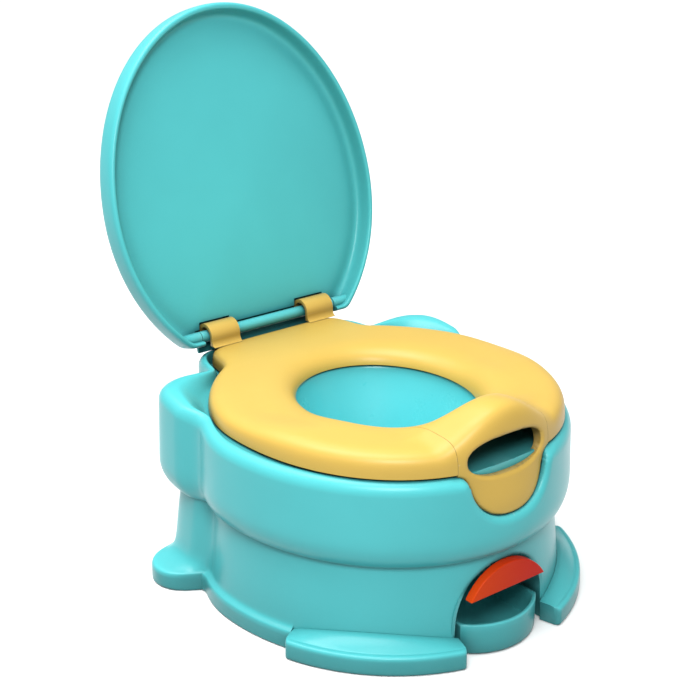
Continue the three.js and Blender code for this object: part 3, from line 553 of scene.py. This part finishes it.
def steel():
    nodes = Nodes("steel")
    base = linear(186, 190, 194)
    cloud = nodes.remap(nodes.noise(300, 3), 0, 1)
    nodes.set("Metallic", 1.0)
    nodes.set("Base Color", nodes.mix(cloud, tinted(base, 0.8), base))
    nodes.set("Roughness", nodes.remap(nodes.noise(700, 2, (1, 1, 0.1)), 0.25, 0.5))
    return nodes.material


# -------- body outline
def block_share(angle):
    """How far the plan has turned from the belly (0) to the rear block (1)."""
    from_side = np.arcsin(np.maximum(np.sin(angle), 0))
    return smoothstep(from_side, BODY.valley_start, BODY.valley_end)


def body_radius(angle, inset, neck_inset):
    """The plan of the body, moved in by inset, with a hinge neck at the back unless neck_inset is None."""
    angle, inset = np.broadcast_arrays(angle, inset)
    rearward = np.sin(angle) > 0
    length = np.where(rearward, BODY.rear, BODY.front) - inset
    belly = super_radius(angle, BODY.half_width - inset, length, 2)
    half, rear = BODY.block_half_width - inset, BODY.block_rear - inset
    plan = lerp(belly, super_radius(angle, half, rear, BODY.block_squareness), block_share(angle))
    if neck_inset is None:
        return plan
    half, rear = BODY.neck_half_width - neck_inset / 4, BODY.neck_rear - neck_inset
    neck = super_radius(angle, half, rear, BODY.neck_squareness)
    has_neck = rearward & (neck_inset <= BODY.neck_rear - BODY.block_rear + inset)
    return np.where(has_neck, smooth_max(plan, neck, BODY.blend), plan)


def ridge_height(angle):
    """The rim is level round the belly, climbs in an S curve to the shoulders and dips at the neck."""
    outline = polar(angle, body_radius(angle, 0.0, np.zeros_like(angle)), 0.0)
    rise = smoothstep(outline[..., 1], BODY.rise_start_y, BODY.rise_start_y + BODY.rise_length)
    neck = BODY.neck_half_width
    away = smoothstep(np.abs(outline[..., 0]), neck, neck + BODY.neck_fade)
    return BODY.rim_z + BODY.shoulder_rise * rise * lerp(BODY.neck_share, 1, away)


def body_wall(angle, z, ridge):
    roll = quarter_round(z - BODY.waist_z, BODY.roll_height, BODY.roll_depth)
    edge = quarter_round(ridge - z, BODY.edge_height, BODY.edge_depth)
    taper = BODY.taper * np.maximum(z - BODY.taper_start_z, 0)
    below = np.maximum(BODY.corbel_top_z - z, 0) / (BODY.corbel_top_z - BODY.waist_z)
    corbel = BODY.corbel_depth * below ** BODY.corbel_power
    return body_radius(angle, roll + edge + taper, edge + corbel)


def seat_radius(angle, inset):
    angle, inset = np.broadcast_arrays(angle, inset)
    rearward = np.sin(angle) > 0
    length = np.where(rearward, SEAT.rear, SEAT.front) - inset
    half = SEAT.half_width - inset
    front = super_radius(angle, half, length, SEAT.front_squareness)
    rear = super_radius(angle, half, length, 2)
    tab_half, tab_rear = SEAT.tab_half_width - inset, SEAT.tab_rear - inset
    tab = super_radius(angle, tab_half, tab_rear, SEAT.tab_squareness)
    return np.where(rearward, smooth_max(rear, tab, SEAT.tab_blend), front)


def pot_point(angle, scale, z):
    x = POT.half_width * scale * np.cos(angle)
    y = HOLE.y + POT.half_length * scale * np.sin(angle)
    return np.stack(np.broadcast_arrays(x, y, z), -1)


# -------- upper body
def tongue_outline(grow):
    """The U of the tongue as (x, z) pairs, with flared top corners, open far above the rim."""
    half = GUARD.tongue_half_width + grow
    drop = GUARD.tongue_drop + grow
    flare = GUARD.flare - grow
    rim = BODY.rim_z + GAP
    turn = np.linspace(math.pi, 2 * math.pi, 121)
    x = half * np.sign(np.cos(turn)) * np.abs(np.cos(turn)) ** 0.85
    z = SEAT.underside_z - drop * np.abs(np.sin(turn)) ** 0.9
    keep = z < rim - flare
    bend = np.linspace(0, math.pi / 2, 16)
    right = np.stack([half + flare * (1 - np.cos(bend)), rim - flare * (1 - np.sin(bend))], -1)
    left = right[::-1] * [-1, 1]
    top = SEAT.underside_z + 80
    wide = half + flare
    return np.concatenate([[(-wide, top)], left, np.stack([x[keep], z[keep]], -1), right, [(wide, top)]])


def dense_outline(outline, spacing=0.5):
    """Points a small spacing apart along an open outline."""
    pieces = []
    for start, end in zip(outline[:-1], outline[1:]):
        count = max(int(np.linalg.norm(end - start) / spacing), 1)
        pieces.append(start + (end - start) * np.arange(count)[:, None] / count)
    return np.concatenate(pieces + [outline[-1:]])


def tongue_half(outline, z):
    """The half width of the U at each height, or -1 below its bottom."""
    right = outline[outline[:, 0] >= 0]
    return np.interp(z, right[:, 1], right[:, 0], left=-1)


def roll_inwards(points, outline, half, width, depth, reach):
    """Rolls a front wall inwards at an opening, whose half width at each point's height is given."""
    x, y, z = np.moveaxis(points, -1, 0)
    away = np.where(np.abs(x) < half, 0, distance_to(dense_outline(outline), x, z))
    points[..., 1] = np.where(y < FRONT_Y + reach, y + quarter_round(away, width, depth), y)
    return points


def round_into_notch(points):
    outline = tongue_outline(NOTCH.clearance)
    half = tongue_half(outline, points[..., 2])
    return roll_inwards(points, outline, half, NOTCH.round_width, NOTCH.round_depth, NOTCH.reach)


def upper_body_sections(angle):
    ridge = ridge_height(angle)
    bottom = BODY.waist_z + GAP / 2
    column = angle[:, None]
    sweep = np.linspace(0, 1, 15)
    low = BODY.waist_z + BODY.roll_height * (1 - np.sin((1 - sweep) * math.pi / 2))
    low = np.maximum(low, bottom)[None].repeat(len(angle), 0)
    high = ridge[:, None] - BODY.edge_height * (1 - np.sin(sweep * math.pi / 2))
    between = lerp(low[:, -1:], high[:, :1], np.linspace(0, 1, 42)[None, 1:-1])
    z = np.concatenate([low, between, high], 1)
    outside = polar(column, body_wall(column, z, ridge[:, None]), z)
    crest = body_wall(angle, ridge, ridge)
    seat_gap = seat_radius(angle, -DECK.seat_clearance)
    shelf = np.maximum(crest - seat_gap, 1)
    across = np.linspace(0, 1, 20)[1:]
    dish_z = lerp(DECK.top_z, ridge[:, None], 1 - smoothstep(across, 0.12, 1))
    dish = polar(column, crest[:, None] - shelf[:, None] * across, dish_z)
    bottom_wall = body_wall(angle, np.full_like(angle, bottom), ridge)
    under, under_wall_z = DECK.underside_z, DECK.underside_z - 6
    inward = np.minimum(
        crest - BODY.roll_depth + BODY.edge_depth,
        body_wall(angle, np.full_like(angle, under - 4), ridge) - WALL,
    ) - 3
    ledge_top = bottom + PEDESTAL.ledge_thickness
    steps = [
        ("opening", "top_z"), ("opening", "ledge_z"), ("ledge", "ledge_z"), ("ledge", "lip_z"),
        ("lip_back", "lip_z"), ("lip_back", "ledge_underside_z"),
        ("ledge_back", "ledge_underside_z"), ("ledge_back", "underside_z"),
    ]
    ledge = [pot_point(angle, getattr(DECK, scale), getattr(DECK, height)) for scale, height in steps]
    ledge.append(polar(angle, inward, under))
    levels = np.linspace(under_wall_z, ledge_top + 12, 26)[None]
    inner_wall = polar(column, body_wall(column, levels, ridge[:, None]) - WALL, levels)
    foot = [
        polar(angle, bottom_wall - WALL, ledge_top),
        polar(angle, bottom_wall - PEDESTAL.ledge_width, ledge_top),
        polar(angle, bottom_wall - PEDESTAL.ledge_width, bottom),
    ]
    inside = np.concatenate([np.stack(ledge, 1), inner_wall, np.stack(foot, 1)], 1)
    return np.concatenate([outside, dish, inside], 1)


def screw_cutters(low_z, high_z):
    cutters = []
    for degrees in SCREW.angles:
        angle = np.array(math.radians(degrees))
        ledge_edge = pedestal_wall(angle, BODY.waist_z) - PEDESTAL.ledge_width
        x, y, _ = polar(angle, ledge_edge + SCREW.from_ledge_edge, 0.0)
        cutters.append(cylinder(SCREW.hole, x, y, low_z, high_z, 16))
    return cutters


def upper_body():
    sections = round_into_notch(upper_body_sections(angles_around(230, 150, 0.36)))
    shell = ring_object("upper_body", sections)
    notch = prism(tongue_outline(NOTCH.clearance), FRONT_Y - OVERRUN, NOTCH.back_y, "y")
    ledge_top = BODY.waist_z + PEDESTAL.ledge_thickness + 1
    return combine(shell, [notch, *screw_cutters(BODY.waist_z - 1, ledge_top)], "DIFFERENCE")


# -------- pedestal
def pedestal_wall(angle, z):
    """The plan radius of the pedestal's outer wall, which leans out towards the flange."""
    up = (z - PEDESTAL.flange_top_z) / (BODY.waist_z - PEDESTAL.flange_top_z)
    share = np.clip(up, 0, 1)
    inset = lerp(PEDESTAL.foot_inset, PEDESTAL.top_inset, share)
    return body_radius(angle, inset + PEDESTAL.block_extra_inset * block_share(angle), None)


def rear_foot_radius(angle):
    x, y, radius = REAR_FOOT.x, REAR_FOOT.y - CENTRE_Y, REAR_FOOT.radius
    along = x * np.abs(np.cos(angle)) + y * np.sin(angle)
    off_line = x * x + y * y - along * along
    meets = (along > 0) & (off_line < radius * radius)
    return np.where(meets, along + np.sqrt(np.maximum(radius * radius - off_line, 0)), 0)


def front_foot_span():
    """The front feet replace the flange between these two directions, from straight ahead."""
    inner = 0.2
    for _ in range(30):
        wall = float(pedestal_wall(np.array(inner + STRAIGHT_AHEAD), PEDESTAL.flange_top_z))
        inner = math.asin(FRONT_FOOT.inner_x / wall)
    return inner, math.pi / 2 - FRONT_FOOT.outer_angle + 0.02


FOOT_INNER, FOOT_OUTER = front_foot_span()
FOOT_MARGIN = 0.004


def flange_reach(angle):
    wall = pedestal_wall(angle, PEDESTAL.flange_top_z)
    flange = wall + PEDESTAL.flange
    reach = smooth_max(flange, rear_foot_radius(angle), PEDESTAL.flange_blend) - wall
    from_front = np.abs(np.arctan2(np.cos(angle), -np.sin(angle)))
    at_foot = (from_front > FOOT_INNER - FOOT_MARGIN) & (from_front < FOOT_OUTER + FOOT_MARGIN)
    return np.where(at_foot, PEDESTAL.reach_at_front_feet, reach)


def arch_outline(grow, low_z=-5.0):
    """Straight jambs that lean in a little, under a half ellipse, as (x, z) pairs."""
    turn = np.linspace(math.pi, 0, 61)
    half = ARCH.shoulder_half_width + grow
    x = half * np.cos(turn)
    z = ARCH.spring_z + (ARCH.crown_z - ARCH.spring_z + grow) * np.sin(turn)
    foot = ARCH.half_width + grow
    return np.concatenate([[(-foot, low_z)], np.stack([x, z], -1), [(foot, low_z)]])


def round_into_arch(points):
    outline = arch_outline(0)
    left = outline[1 : len(outline) // 2]
    half = np.interp(points[..., 2], left[:, 1], -left[:, 0], left=ARCH.half_width, right=-1)
    return roll_inwards(points, outline, half, ARCH.round_width, ARCH.round_depth, ARCH.reach)


def pedestal_sections(angle):
    top = BODY.waist_z - GAP / 2
    ledge_bottom = top - PEDESTAL.ledge_thickness
    floor_z, flange_z = PEDESTAL.floor_z, PEDESTAL.flange_top_z
    foot = pedestal_wall(angle, flange_z)
    reach = flange_reach(angle)
    column = angle[:, None]
    outer = foot + reach
    flare = lerp(8, 24, smoothstep(reach, PEDESTAL.flange, 3 * PEDESTAL.flange))
    levels = lerp(top, (flange_z + flare)[:, None], np.linspace(0, 1, 26)[None])
    wall = polar(column, pedestal_wall(column, levels), levels)
    start_z = flange_z + flare
    start = pedestal_wall(angle, start_z)
    control = np.stack([
        polar(angle, start, start_z),
        polar(angle, lerp(start, foot, 0.6), lerp(start_z, flange_z, 0.55)),
        polar(angle, foot + reach * 0.14, lerp(start_z, flange_z, 0.84)),
        polar(angle, foot + reach * 0.5, flange_z - 0.2),
        polar(angle, outer - np.minimum(reach * 0.2, 3.2), flange_z - 0.9),
        polar(angle, outer - np.minimum(reach * 0.06, 0.8), flange_z - 2.4),
        polar(angle, outer, flange_z - 5.5),
    ], 1)
    cove = spline(control, 5)
    skirt_levels = np.linspace(flange_z - 6.5, floor_z + 0.8, 8)
    skirt = polar(column, outer[:, None], skirt_levels[None].repeat(len(angle), 0))
    under = [
        polar(angle, outer - 0.8, floor_z),
        polar(angle, foot - WALL, floor_z),
        polar(angle, foot - WALL, flange_z),
        polar(angle, pedestal_wall(angle, top) - WALL - 1, ledge_bottom),
        polar(angle, pedestal_wall(angle, top) - PEDESTAL.ledge_width, ledge_bottom),
        polar(angle, pedestal_wall(angle, top) - PEDESTAL.ledge_width, top),
    ]
    front = round_into_arch(np.concatenate([wall, cove[:, 1:], skirt], 1))
    return np.concatenate([front, np.stack(under, 1)], 1)


def pad_pocket(x, y):
    clearance = RUBBER.clearance
    return cylinder(RUBBER.radius + clearance, x, y, -1, RUBBER.height + clearance)


def pedestal_angles():
    """Even angles, a finer front for the arch, and steps at both ends of the front feet."""
    even = angles_around(300, 150, 0.5)
    ends = [FOOT_INNER - FOOT_MARGIN, FOOT_OUTER + FOOT_MARGIN]
    steps = [end + nudge for end in ends for nudge in (-0.001, 0.001)]
    sides = [side * step + STRAIGHT_AHEAD for step in steps for side in (-1, 1)]
    return np.unique(np.concatenate([even % (2 * math.pi), np.array(sides) % (2 * math.pi)]))


def pedestal():
    shell = ring_object("pedestal", pedestal_sections(pedestal_angles()))
    back_y = FRONT_Y + ARCH.depth
    jacket_outline = arch_outline(ARCH.wall, PEDESTAL.floor_z)
    jacket = prism(jacket_outline, FRONT_Y + ARCH.jacket_setback, back_y, "y")
    tunnel = prism(arch_outline(0), FRONT_Y - OVERRUN, back_y + 1, "y")
    combine(shell, [jacket], "UNION")
    pockets = [pad_pocket(side * REAR_FOOT.x, REAR_FOOT.y) for side in (-1, 1)]
    cutters = [tunnel, *pockets, *screw_cutters(BODY.waist_z - 8, BODY.waist_z + 1)]
    return combine(shell, cutters, "DIFFERENCE")


# -------- front feet
def front_foot(side):
    """A domed step that fills the corner between the pedestal wall and the floor arc."""
    count = 120
    share = np.linspace(0, 1, count)
    from_front = lerp(FOOT_INNER, FOOT_OUTER, share)
    angle = STRAIGHT_AHEAD + side * from_front
    inner = pedestal_wall(angle, PEDESTAL.flange_top_z) + FRONT_FOOT.wall_clearance
    lift = CENTRE_Y - FRONT_FOOT.arc_centre_y
    along = -lift * np.sin(angle)
    floor_arc = along + np.sqrt(FRONT_FOOT.arc_radius ** 2 - lift * lift + along * along)
    from_end = np.minimum(share, 1 - share) * (FOOT_OUTER - FOOT_INNER) * inner
    outer = floor_arc - quarter_round(from_end, FRONT_FOOT.end_round, FRONT_FOOT.end_round)
    reach = outer - inner
    top_z = FRONT_FOOT.top_z
    dome = lerp(top_z + 0.5, FRONT_FOOT.crown_z, np.sin(math.pi * share) ** 0.8)
    floor_z = PEDESTAL.floor_z
    border = np.minimum(reach * 0.28, 5.5)
    rows = [
        (inner, floor_z), (outer - 0.8, floor_z), (outer, floor_z + 0.8),
        (outer, 7.0), (outer, top_z - 5.5),
        (outer - 0.15, top_z - 3.2), (outer - np.minimum(0.9, border * 0.3), top_z - 1.4),
        (outer - border * 0.45, top_z - 0.45), (outer - border * 0.8, top_z - 0.1),
        (outer - border, top_z - 0.2), (outer - border * 1.2, top_z + 0.3),
        (inner + reach * 0.5, lerp(top_z, dome, 0.42)), (inner + reach * 0.25, lerp(top_z, dome, 0.78)),
        (inner + reach * 0.1, lerp(top_z, dome, 0.95)),
        (pedestal_wall(angle, dome) + GAP, dome),
    ]
    control = np.stack([polar(angle, radius, height) for radius, height in rows], 1)
    curved = spline(control[:, 1:], 5)
    piece = bar_object("front_foot", np.concatenate([control[:, :1], curved], 1))
    pad_angle = np.array(STRAIGHT_AHEAD + side * RUBBER.front_angle)
    x, y, _ = polar(pad_angle, pedestal_wall(pad_angle, 0) + RUBBER.front_offset, 0.0)
    return combine(piece, [pad_pocket(x, y)], "DIFFERENCE")


# -------- pot
def pot():
    floor_z, wall = POT.floor_z, POT.wall
    ledge = DECK.ledge_z + GAP
    profile = [
        (0.001, floor_z), (0.15, floor_z), (0.4, floor_z), (0.54, floor_z + 3), (0.63, floor_z + 12),
        (0.72, 118), (0.82, 143), (0.9, 163), (0.94, 175), (0.95, 178), (0.965, 179.4), (0.985, 179.4),
        (0.998, 178), (1.005, 174.8), (1.03, 174.3), (1.12, 174.2), (1.128, 173.6), (1.128, 172),
        (1.12, ledge), (1.0, ledge), (0.93, 162), (0.86, 143), (0.76, 117), (0.67, floor_z + 10),
        (0.57, floor_z - 1), (0.42, floor_z - wall), (0.15, floor_z - wall), (0.001, floor_z - wall),
    ]
    return stacked("pot", profile, 5, 200, pot_point)


# -------- seat ring and splash guard
def seat_top(y):
    return lerp(SEAT.top_z, SEAT.rear_top_z, smoothstep(y, *SEAT.slope_y))


def hump_share(x):
    return np.maximum(1 - (x / GUARD.hump_foot) ** 2, 0) ** 2


def seat_surface(angle, wall=0.0):
    """Control points over the seat's edge and down its funnel, or the same points of its underside."""
    column = angle[:, None]
    outline = polar(column, seat_radius(column, 0.0), 0.0)
    height = seat_top(outline[..., 1]) - SEAT.underside_z
    breadth = lerp(1, SEAT.rear_edge_breadth, smoothstep(outline[..., 1], *SEAT.rear_edge_y))
    in_front = outline[..., 1] < CENTRE_Y

    def rows_at(rows, x_at, breadth):
        distance, share, hump_distance, climb = np.array(rows, float).T
        hump = np.where(in_front, hump_share(x_at(distance * breadth)), 0)
        across = lerp(distance, hump_distance, hump) * breadth
        up = height * share + GUARD.hump * hump * climb
        return across + wall * (1 - share), SEAT.underside_z + up - wall * share

    def edge_x(distance):
        return seat_radius(column, distance) * np.cos(column)

    def hole_x(distance):
        return (HOLE.half_width + distance) * np.cos(column)

    inset, edge_z = rows_at(EDGE, edge_x, breadth)
    grow, funnel_z = rows_at(FUNNEL, hole_x, 1)
    x = (HOLE.half_width + grow) * np.cos(column)
    y = HOLE.y + (HOLE.half_length + grow) * np.sin(column)
    return polar(column, seat_radius(column, inset), edge_z), np.stack([x, y, funnel_z], -1)


def seat_sections(angle):
    top = np.concatenate(seat_surface(angle), 1)
    under = np.concatenate(seat_surface(angle, SEAT.wall), 1)
    return np.concatenate([spline(top, 6), spline(under, 3)[:, ::-1]], 1)


def seat_ring():
    ring = ring_object("seat_ring", seat_sections(angles_around(230, 160, GUARD.fan)))
    half = GUARD.half_width + GAP / 2
    mouth = box_object((-half, FRONT_Y, BODY.waist_z), (half, 0, SEAT.top_z + 60))
    return combine(ring, [mouth], "DIFFERENCE")


def front_of_ring(x):
    share = 1 - np.abs(x / SEAT.half_width) ** SEAT.front_squareness
    return CENTRE_Y - SEAT.front * share ** (1 / SEAT.front_squareness)


def tongue_bulge(x, z):
    """The tongue swings out below the seat's edge until it lies flush with the belly."""
    share = np.clip((SEAT.underside_z - z) / GUARD.tongue_drop, 0, 1)
    across = np.maximum(1 - (x / GUARD.half_width) ** 2, 0)
    return GUARD.tongue_bulge * across * smoothstep(share, 0, 0.9)


def guard_sections(angle):
    """The seat's surface from the funnel to its edge, then on down the tongue, with a wall behind it."""
    column = angle[:, None]
    low = SEAT.underside_z - GUARD.tongue_drop - 3
    skirt_z = np.linspace(low, SEAT.underside_z, 9)[None, :-1].repeat(len(angle), 0)
    edge = seat_radius(column, 0.0)
    skirt = polar(column, edge + tongue_bulge(edge * np.cos(column), skirt_z), skirt_z)
    outer = spline(np.concatenate([skirt, *seat_surface(angle)], 1), 8)
    x, y, z = outer[..., 0], outer[..., 1] - CENTRE_Y, outer[..., 2]
    radius, direction = np.hypot(x, y), np.arctan2(y, x)
    along = np.stack([np.gradient(radius, axis=1), np.gradient(z, axis=1)], -1)
    along /= np.maximum(np.linalg.norm(along, axis=-1, keepdims=True), 1e-9)
    inner = polar(direction, radius - along[..., 1] * GUARD.wall, z + along[..., 0] * GUARD.wall)
    return np.concatenate([round_at_openings(outer), inner[:, ::-1]], 1)


def lens_radius(turn, grow=0.0):
    half_width, half_height = HAND_HOLE.half_width + grow, HAND_HOLE.half_height + grow
    return super_radius(turn, half_width, half_height, HAND_HOLE.squareness)


def lens_outline(grow=0.0, count=120):
    """The hand opening's outline as (x, z) pairs."""
    turn = full_turn(count)
    return arc(turn, lens_radius(turn, grow), 0.0, HAND_HOLE.z)


def guard_front(outline):
    """The y of the guard's front face at each (x, z) of an outline."""
    distance, share, hump_distance, climb = np.array(EDGE, float).T
    height = SEAT.top_z - SEAT.underside_z
    inset = []
    for x, z in outline:
        hump = hump_share(x)
        up = height * share + GUARD.hump * hump * climb
        inset.append(np.interp(z - SEAT.underside_z, up, lerp(distance, hump_distance, hump)))
    x, z = outline.T
    return front_of_ring(x) + inset - tongue_bulge(x, z)


def hand_hole_jamb():
    """The short sleeve behind the hand opening that gives its edge a thick, rounded look."""
    inner = lens_outline(-0.4)
    outer = lens_outline(HAND_HOLE.jamb_wall)
    inner_y, outer_y = guard_front(inner), guard_front(outer)
    setback = HAND_HOLE.jamb_setback
    up = smoothstep(inner[:, 1], *HAND_HOLE.jamb_z)
    depth = lerp(HAND_HOLE.jamb_low, HAND_HOLE.jamb_high, up)
    corners = [
        (inner, inner_y + setback), (inner, inner_y + depth),
        (outer, outer_y + depth), (outer, outer_y + setback),
    ]
    sections = [np.stack([line[:, 0], y, line[:, 1]], -1) for line, y in corners]
    return ring_object("jamb", np.stack(sections, 1))


def round_at_openings(points):
    """Rolls the guard's outer face inwards at the hand opening and at the tongue's edge."""
    x, y, z = np.moveaxis(points, -1, 0)
    up = z - HAND_HOLE.z
    within = np.hypot(x, up) < lens_radius(np.arctan2(up, x))
    to_lens = np.where(within, 0, distance_to(lens_outline(0, 400), x, z))
    outline = tongue_outline(0)
    below_rim = z < SEAT.underside_z - 1
    in_tongue = np.abs(x) < tongue_half(outline, z)
    to_edge = np.where(in_tongue, distance_to(dense_outline(outline), x, z), 0)
    to_edge = np.where(below_rim, to_edge, HAND_HOLE.half_width)
    depth = quarter_round(to_lens, HAND_HOLE.round_width, HAND_HOLE.round_depth)
    depth += quarter_round(to_edge, GUARD.edge_round_width, GUARD.edge_round_depth)
    rounded = points.copy()
    rounded[..., 1] = np.where(y < FRONT_Y + GUARD.tongue_drop, y + depth, y)
    return rounded


def splash_guard():
    angle = STRAIGHT_AHEAD + np.linspace(-GUARD.fan, GUARD.fan, 190)
    shell = bar_object("splash_guard", guard_sections(angle))
    combine(shell, [hand_hole_jamb()], "UNION")
    hole_back = front_of_ring(0) + HAND_HOLE.cut_depth
    hole = prism(lens_outline(), FRONT_Y - OVERRUN, hole_back, "y")
    combine(shell, [hole], "DIFFERENCE")
    half = GUARD.half_width - GAP / 2
    outline = tongue_outline(0)
    outline[:, 0] = np.clip(outline[:, 0], -half, half)
    return combine(shell, [prism(outline, FRONT_Y - OVERRUN, CENTRE_Y, "y")], "INTERSECT")


# -------- hinge and lid
def hook_profile():
    """A strap that rises from the tab and curls back over the rod, as (y, z) pairs from the hinge axis."""
    outer, inner = HOOK.outer_radius, HOOK.inner_radius
    foot = HOOK.foot_z - HINGE.z
    over = np.linspace(math.pi, HOOK.end_angle, 60)
    tip = arc(HOOK.tip_angle, (outer + inner) / 2)
    sweep = np.linspace(0, math.pi / 2, 12)
    spread, lift = HOOK.foot_spread, HOOK.foot_lift
    rise = np.stack([-outer - spread * (1 - np.sin(sweep)), foot + lift * (1 - np.cos(sweep))], -1)
    return np.concatenate([rise, arc(over, outer), [tip], arc(over, inner)[::-1], [(-inner, foot)]])


def lid_hook(side):
    profile = hook_profile() + [HINGE.y, HINGE.z]
    start = side * HOOK.x - HOOK.width / 2
    return round_edges(prism(profile, start, start + HOOK.width, "x"), HOOK.round, 3, 50)


def hinge_rod():
    radius, half = HINGE.rod_radius, HINGE.rod_half_length
    stub, stub_half = HINGE.stub_radius, HINGE.stub_half_length
    right = [(radius, half - 0.8), (radius - 0.25, half - 0.25), (radius - 0.8, half), (stub, half),
             (stub, stub_half - 0.4), (stub - 0.4, stub_half), (0.01, stub_half)]
    left = [(r, -x) for r, x in reversed(right)]
    return lathe_along_x("lid_hinge_rod", left + right)


def lid_point(angle, scale, z):
    """The lid's own frame: x across, y away from the rod, z towards the dished side."""
    reach = np.where(np.sin(angle) > 0, LID.top, LID.bottom) * np.sin(angle)
    away = smooth_max(reach, np.full_like(reach, LID.cut - LID.centre), LID.cut_blend)
    x = LID.half_width * np.cos(angle) * scale
    return np.stack([x, LID.centre + away * scale, np.full_like(x, z)], -1)


def lid():
    lip, panel, back, rim = LID.lip, LID.panel, LID.back, LID.rim_back
    profile = [
        (0.001, panel + 3.6), (0.2, panel + 3.4), (0.5, panel + 2.2), (0.7, panel + 0.8),
        (0.8, panel - 0.3), (0.85, panel - 1.2), (0.88, panel - 2.2), (0.9, panel - 2.8),
        (0.92, panel - 2.9), (0.938, panel - 1.8), (0.948, panel + 1.2), (0.954, panel + 5),
        (0.96, lip - 4), (0.963, lip - 1.6), (0.968, lip - 0.2), (0.976, lip + 0.3), (0.985, lip + 0.1),
        (0.993, lip - 1.2), (0.998, lip - 4), (1.0, 0), (1.0, rim + 9), (0.998, rim + 4.5),
        (0.99, rim + 1.5), (0.975, rim + 0.2), (0.95, rim), (0.9, rim), (0.86, rim),
        (0.845, rim + 1.5), (0.82, back), (0.5, back - 0.6), (0.2, back - 0.6), (0.001, back - 0.6),
    ]
    shell = stacked("lid", profile, 4, 260, lid_point)
    low_y, high_z, floor = LID.cut - 1, LID.lip + 2, LID.slot_floor
    half, radius = HINGE.rod_half_length + GAP, HINGE.rod_radius
    slots = [box_object((-half, low_y, floor), (half, radius + LID.rod_clearance, high_z))]
    slot_half = HOOK.width / 2 + LID.hook_side_clearance
    slot_top = HOOK.outer_radius + LID.hook_clearance
    for side in (-1, 1):
        middle = side * HOOK.x
        slots.append(box_object((middle - slot_half, low_y, floor), (middle + slot_half, slot_top, high_z)))
        start, end = side * (half + GAP), side * LID.boss_half_length
        boss = lathe_along_x("boss", [(0.01, start), (radius, start), (radius, end), (0.01, end)])
        combine(shell, [boss], "UNION")
    reach, bore_radius = HINGE.stub_half_length + 0.5, HINGE.bore_radius
    ends = [(0.01, -reach), (bore_radius, -reach), (bore_radius, reach), (0.01, reach)]
    combine(shell, [*slots, lathe_along_x("bore", ends, 32)], "DIFFERENCE")
    stop_half = LID.stop_half_width
    stop = box_object((-stop_half, LID.stop_low_y, LID.rim_back), (stop_half, 0, floor))
    return combine(shell, [round_edges(stop, 0.8)], "UNION")


# -------- tray and crescent
def tray_outline(inset):
    """The round nose, straight sides and rounded rear corners, as (x, y) pairs moved in by inset."""
    radius = TRAY.nose_radius - inset
    half = TRAY.half_width - inset
    rear = TRAY.rear_y - inset
    corner = max(TRAY.corner - inset, TRAY.least_corner)
    start = math.asin(half / radius)
    nose = STRAIGHT_AHEAD + np.linspace(-start, start, 61)
    bend = np.linspace(0, math.pi / 2, 13)
    right = arc(bend, corner, half - corner, rear - corner)
    left = right[::-1] * [-1, 1]
    return np.concatenate([arc(nose, radius, 0.0, TRAY.nose_y), right, left])


def tray():
    low, rim, wall = TRAY.floor_z, TRAY.rim_z, TRAY.wall
    inside = low + TRAY.floor
    profile = [
        (40, low), (6, low), (1.5, low), (0.3, low + 0.4), (0, low + 1.8), (0, 12), (0, 24),
        (0, rim - 1.6), (0.25, rim - 0.6), (0.9, rim - 0.05), (wall / 2, rim),
        (wall - 0.9, rim - 0.05), (wall - 0.25, rim - 0.6), (wall, rim - 1.6), (wall, 20),
        (wall + 0.3, 10), (wall + 1.5, 6.2), (wall + 5, inside), (40, inside),
    ]
    rows = [np.insert(tray_outline(inset), 2, z, axis=1) for inset, z in profile]
    return bar_object("tray", np.stack(rows))


def crescent():
    width = ARCH.shoulder_half_width - CRESCENT.clearance
    rise = ARCH.crown_z - ARCH.spring_z - CRESCENT.clearance
    start = math.asin((CRESCENT.chord_z - ARCH.spring_z) / rise)
    turn = np.linspace(start, math.pi - start, 61)
    outline = np.stack([width * np.cos(turn), ARCH.spring_z + rise * np.sin(turn)], -1)
    plate = prism(outline, CRESCENT.front_y, CRESCENT.front_y + CRESCENT.thickness, "y")
    return round_edges(plate, CRESCENT.round, 4, 50)


# -------- assembly
make_camera()
make_studio()

TEAL = moulded_plastic("teal_plastic", linear(82, 189, 193), 0.3, 0.05, 0.22)
# The pot is teal like the body. Its colour is painted a little lighter so that the bowl looks brightly lit
# inside.
POT_TEAL = moulded_plastic("pot_plastic", linear(86, 200, 207), 0.28, 0.25, 0.32)
YELLOW = moulded_plastic("yellow_plastic", linear(202, 168, 80), 0.38, 0.05, 0.25)
ORANGE = crescent_plastic()
RUBBER_GREY = rubber()
STEEL = steel()

place(upper_body(), TEAL, "body", "upper_body")
place(pedestal(), TEAL, "body", "pedestal")
place(crescent(), ORANGE, "body", "arch_crescent")
place(pot(), POT_TEAL, "pot", "pot")
place(seat_ring(), YELLOW, "seat", "seat_ring")
place(splash_guard(), YELLOW, "seat", "splash_guard")
place(tray(), TEAL, "tray", "tray")
for side, label in ((-1, "left"), (1, "right")):
    place(front_foot(side), TEAL, "body", f"front_foot_{label}")
    place(lid_hook(side), YELLOW, "seat", f"lid_hook_{label}")
lean = Matrix.Rotation(math.pi / 2 - LID.tilt, 4, "X")
open_lid = Matrix.Translation((0, HINGE.y, HINGE.z)) @ lean
place(lid(), TEAL, "lid", "lid", open_lid)
place(hinge_rod(), TEAL, "lid", "lid_hinge_rod", open_lid)

# The pads, bumpers and screws keep their CAD shapes.
FINISHES = {"rubber_pad": RUBBER_GREY, "seat_bumper": RUBBER_GREY, "body_screw": STEEL}
for name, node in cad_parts.items():
    for start, material in FINISHES.items():
        if name.startswith(start):
            node.data.materials.clear()
            node.data.materials.append(material)
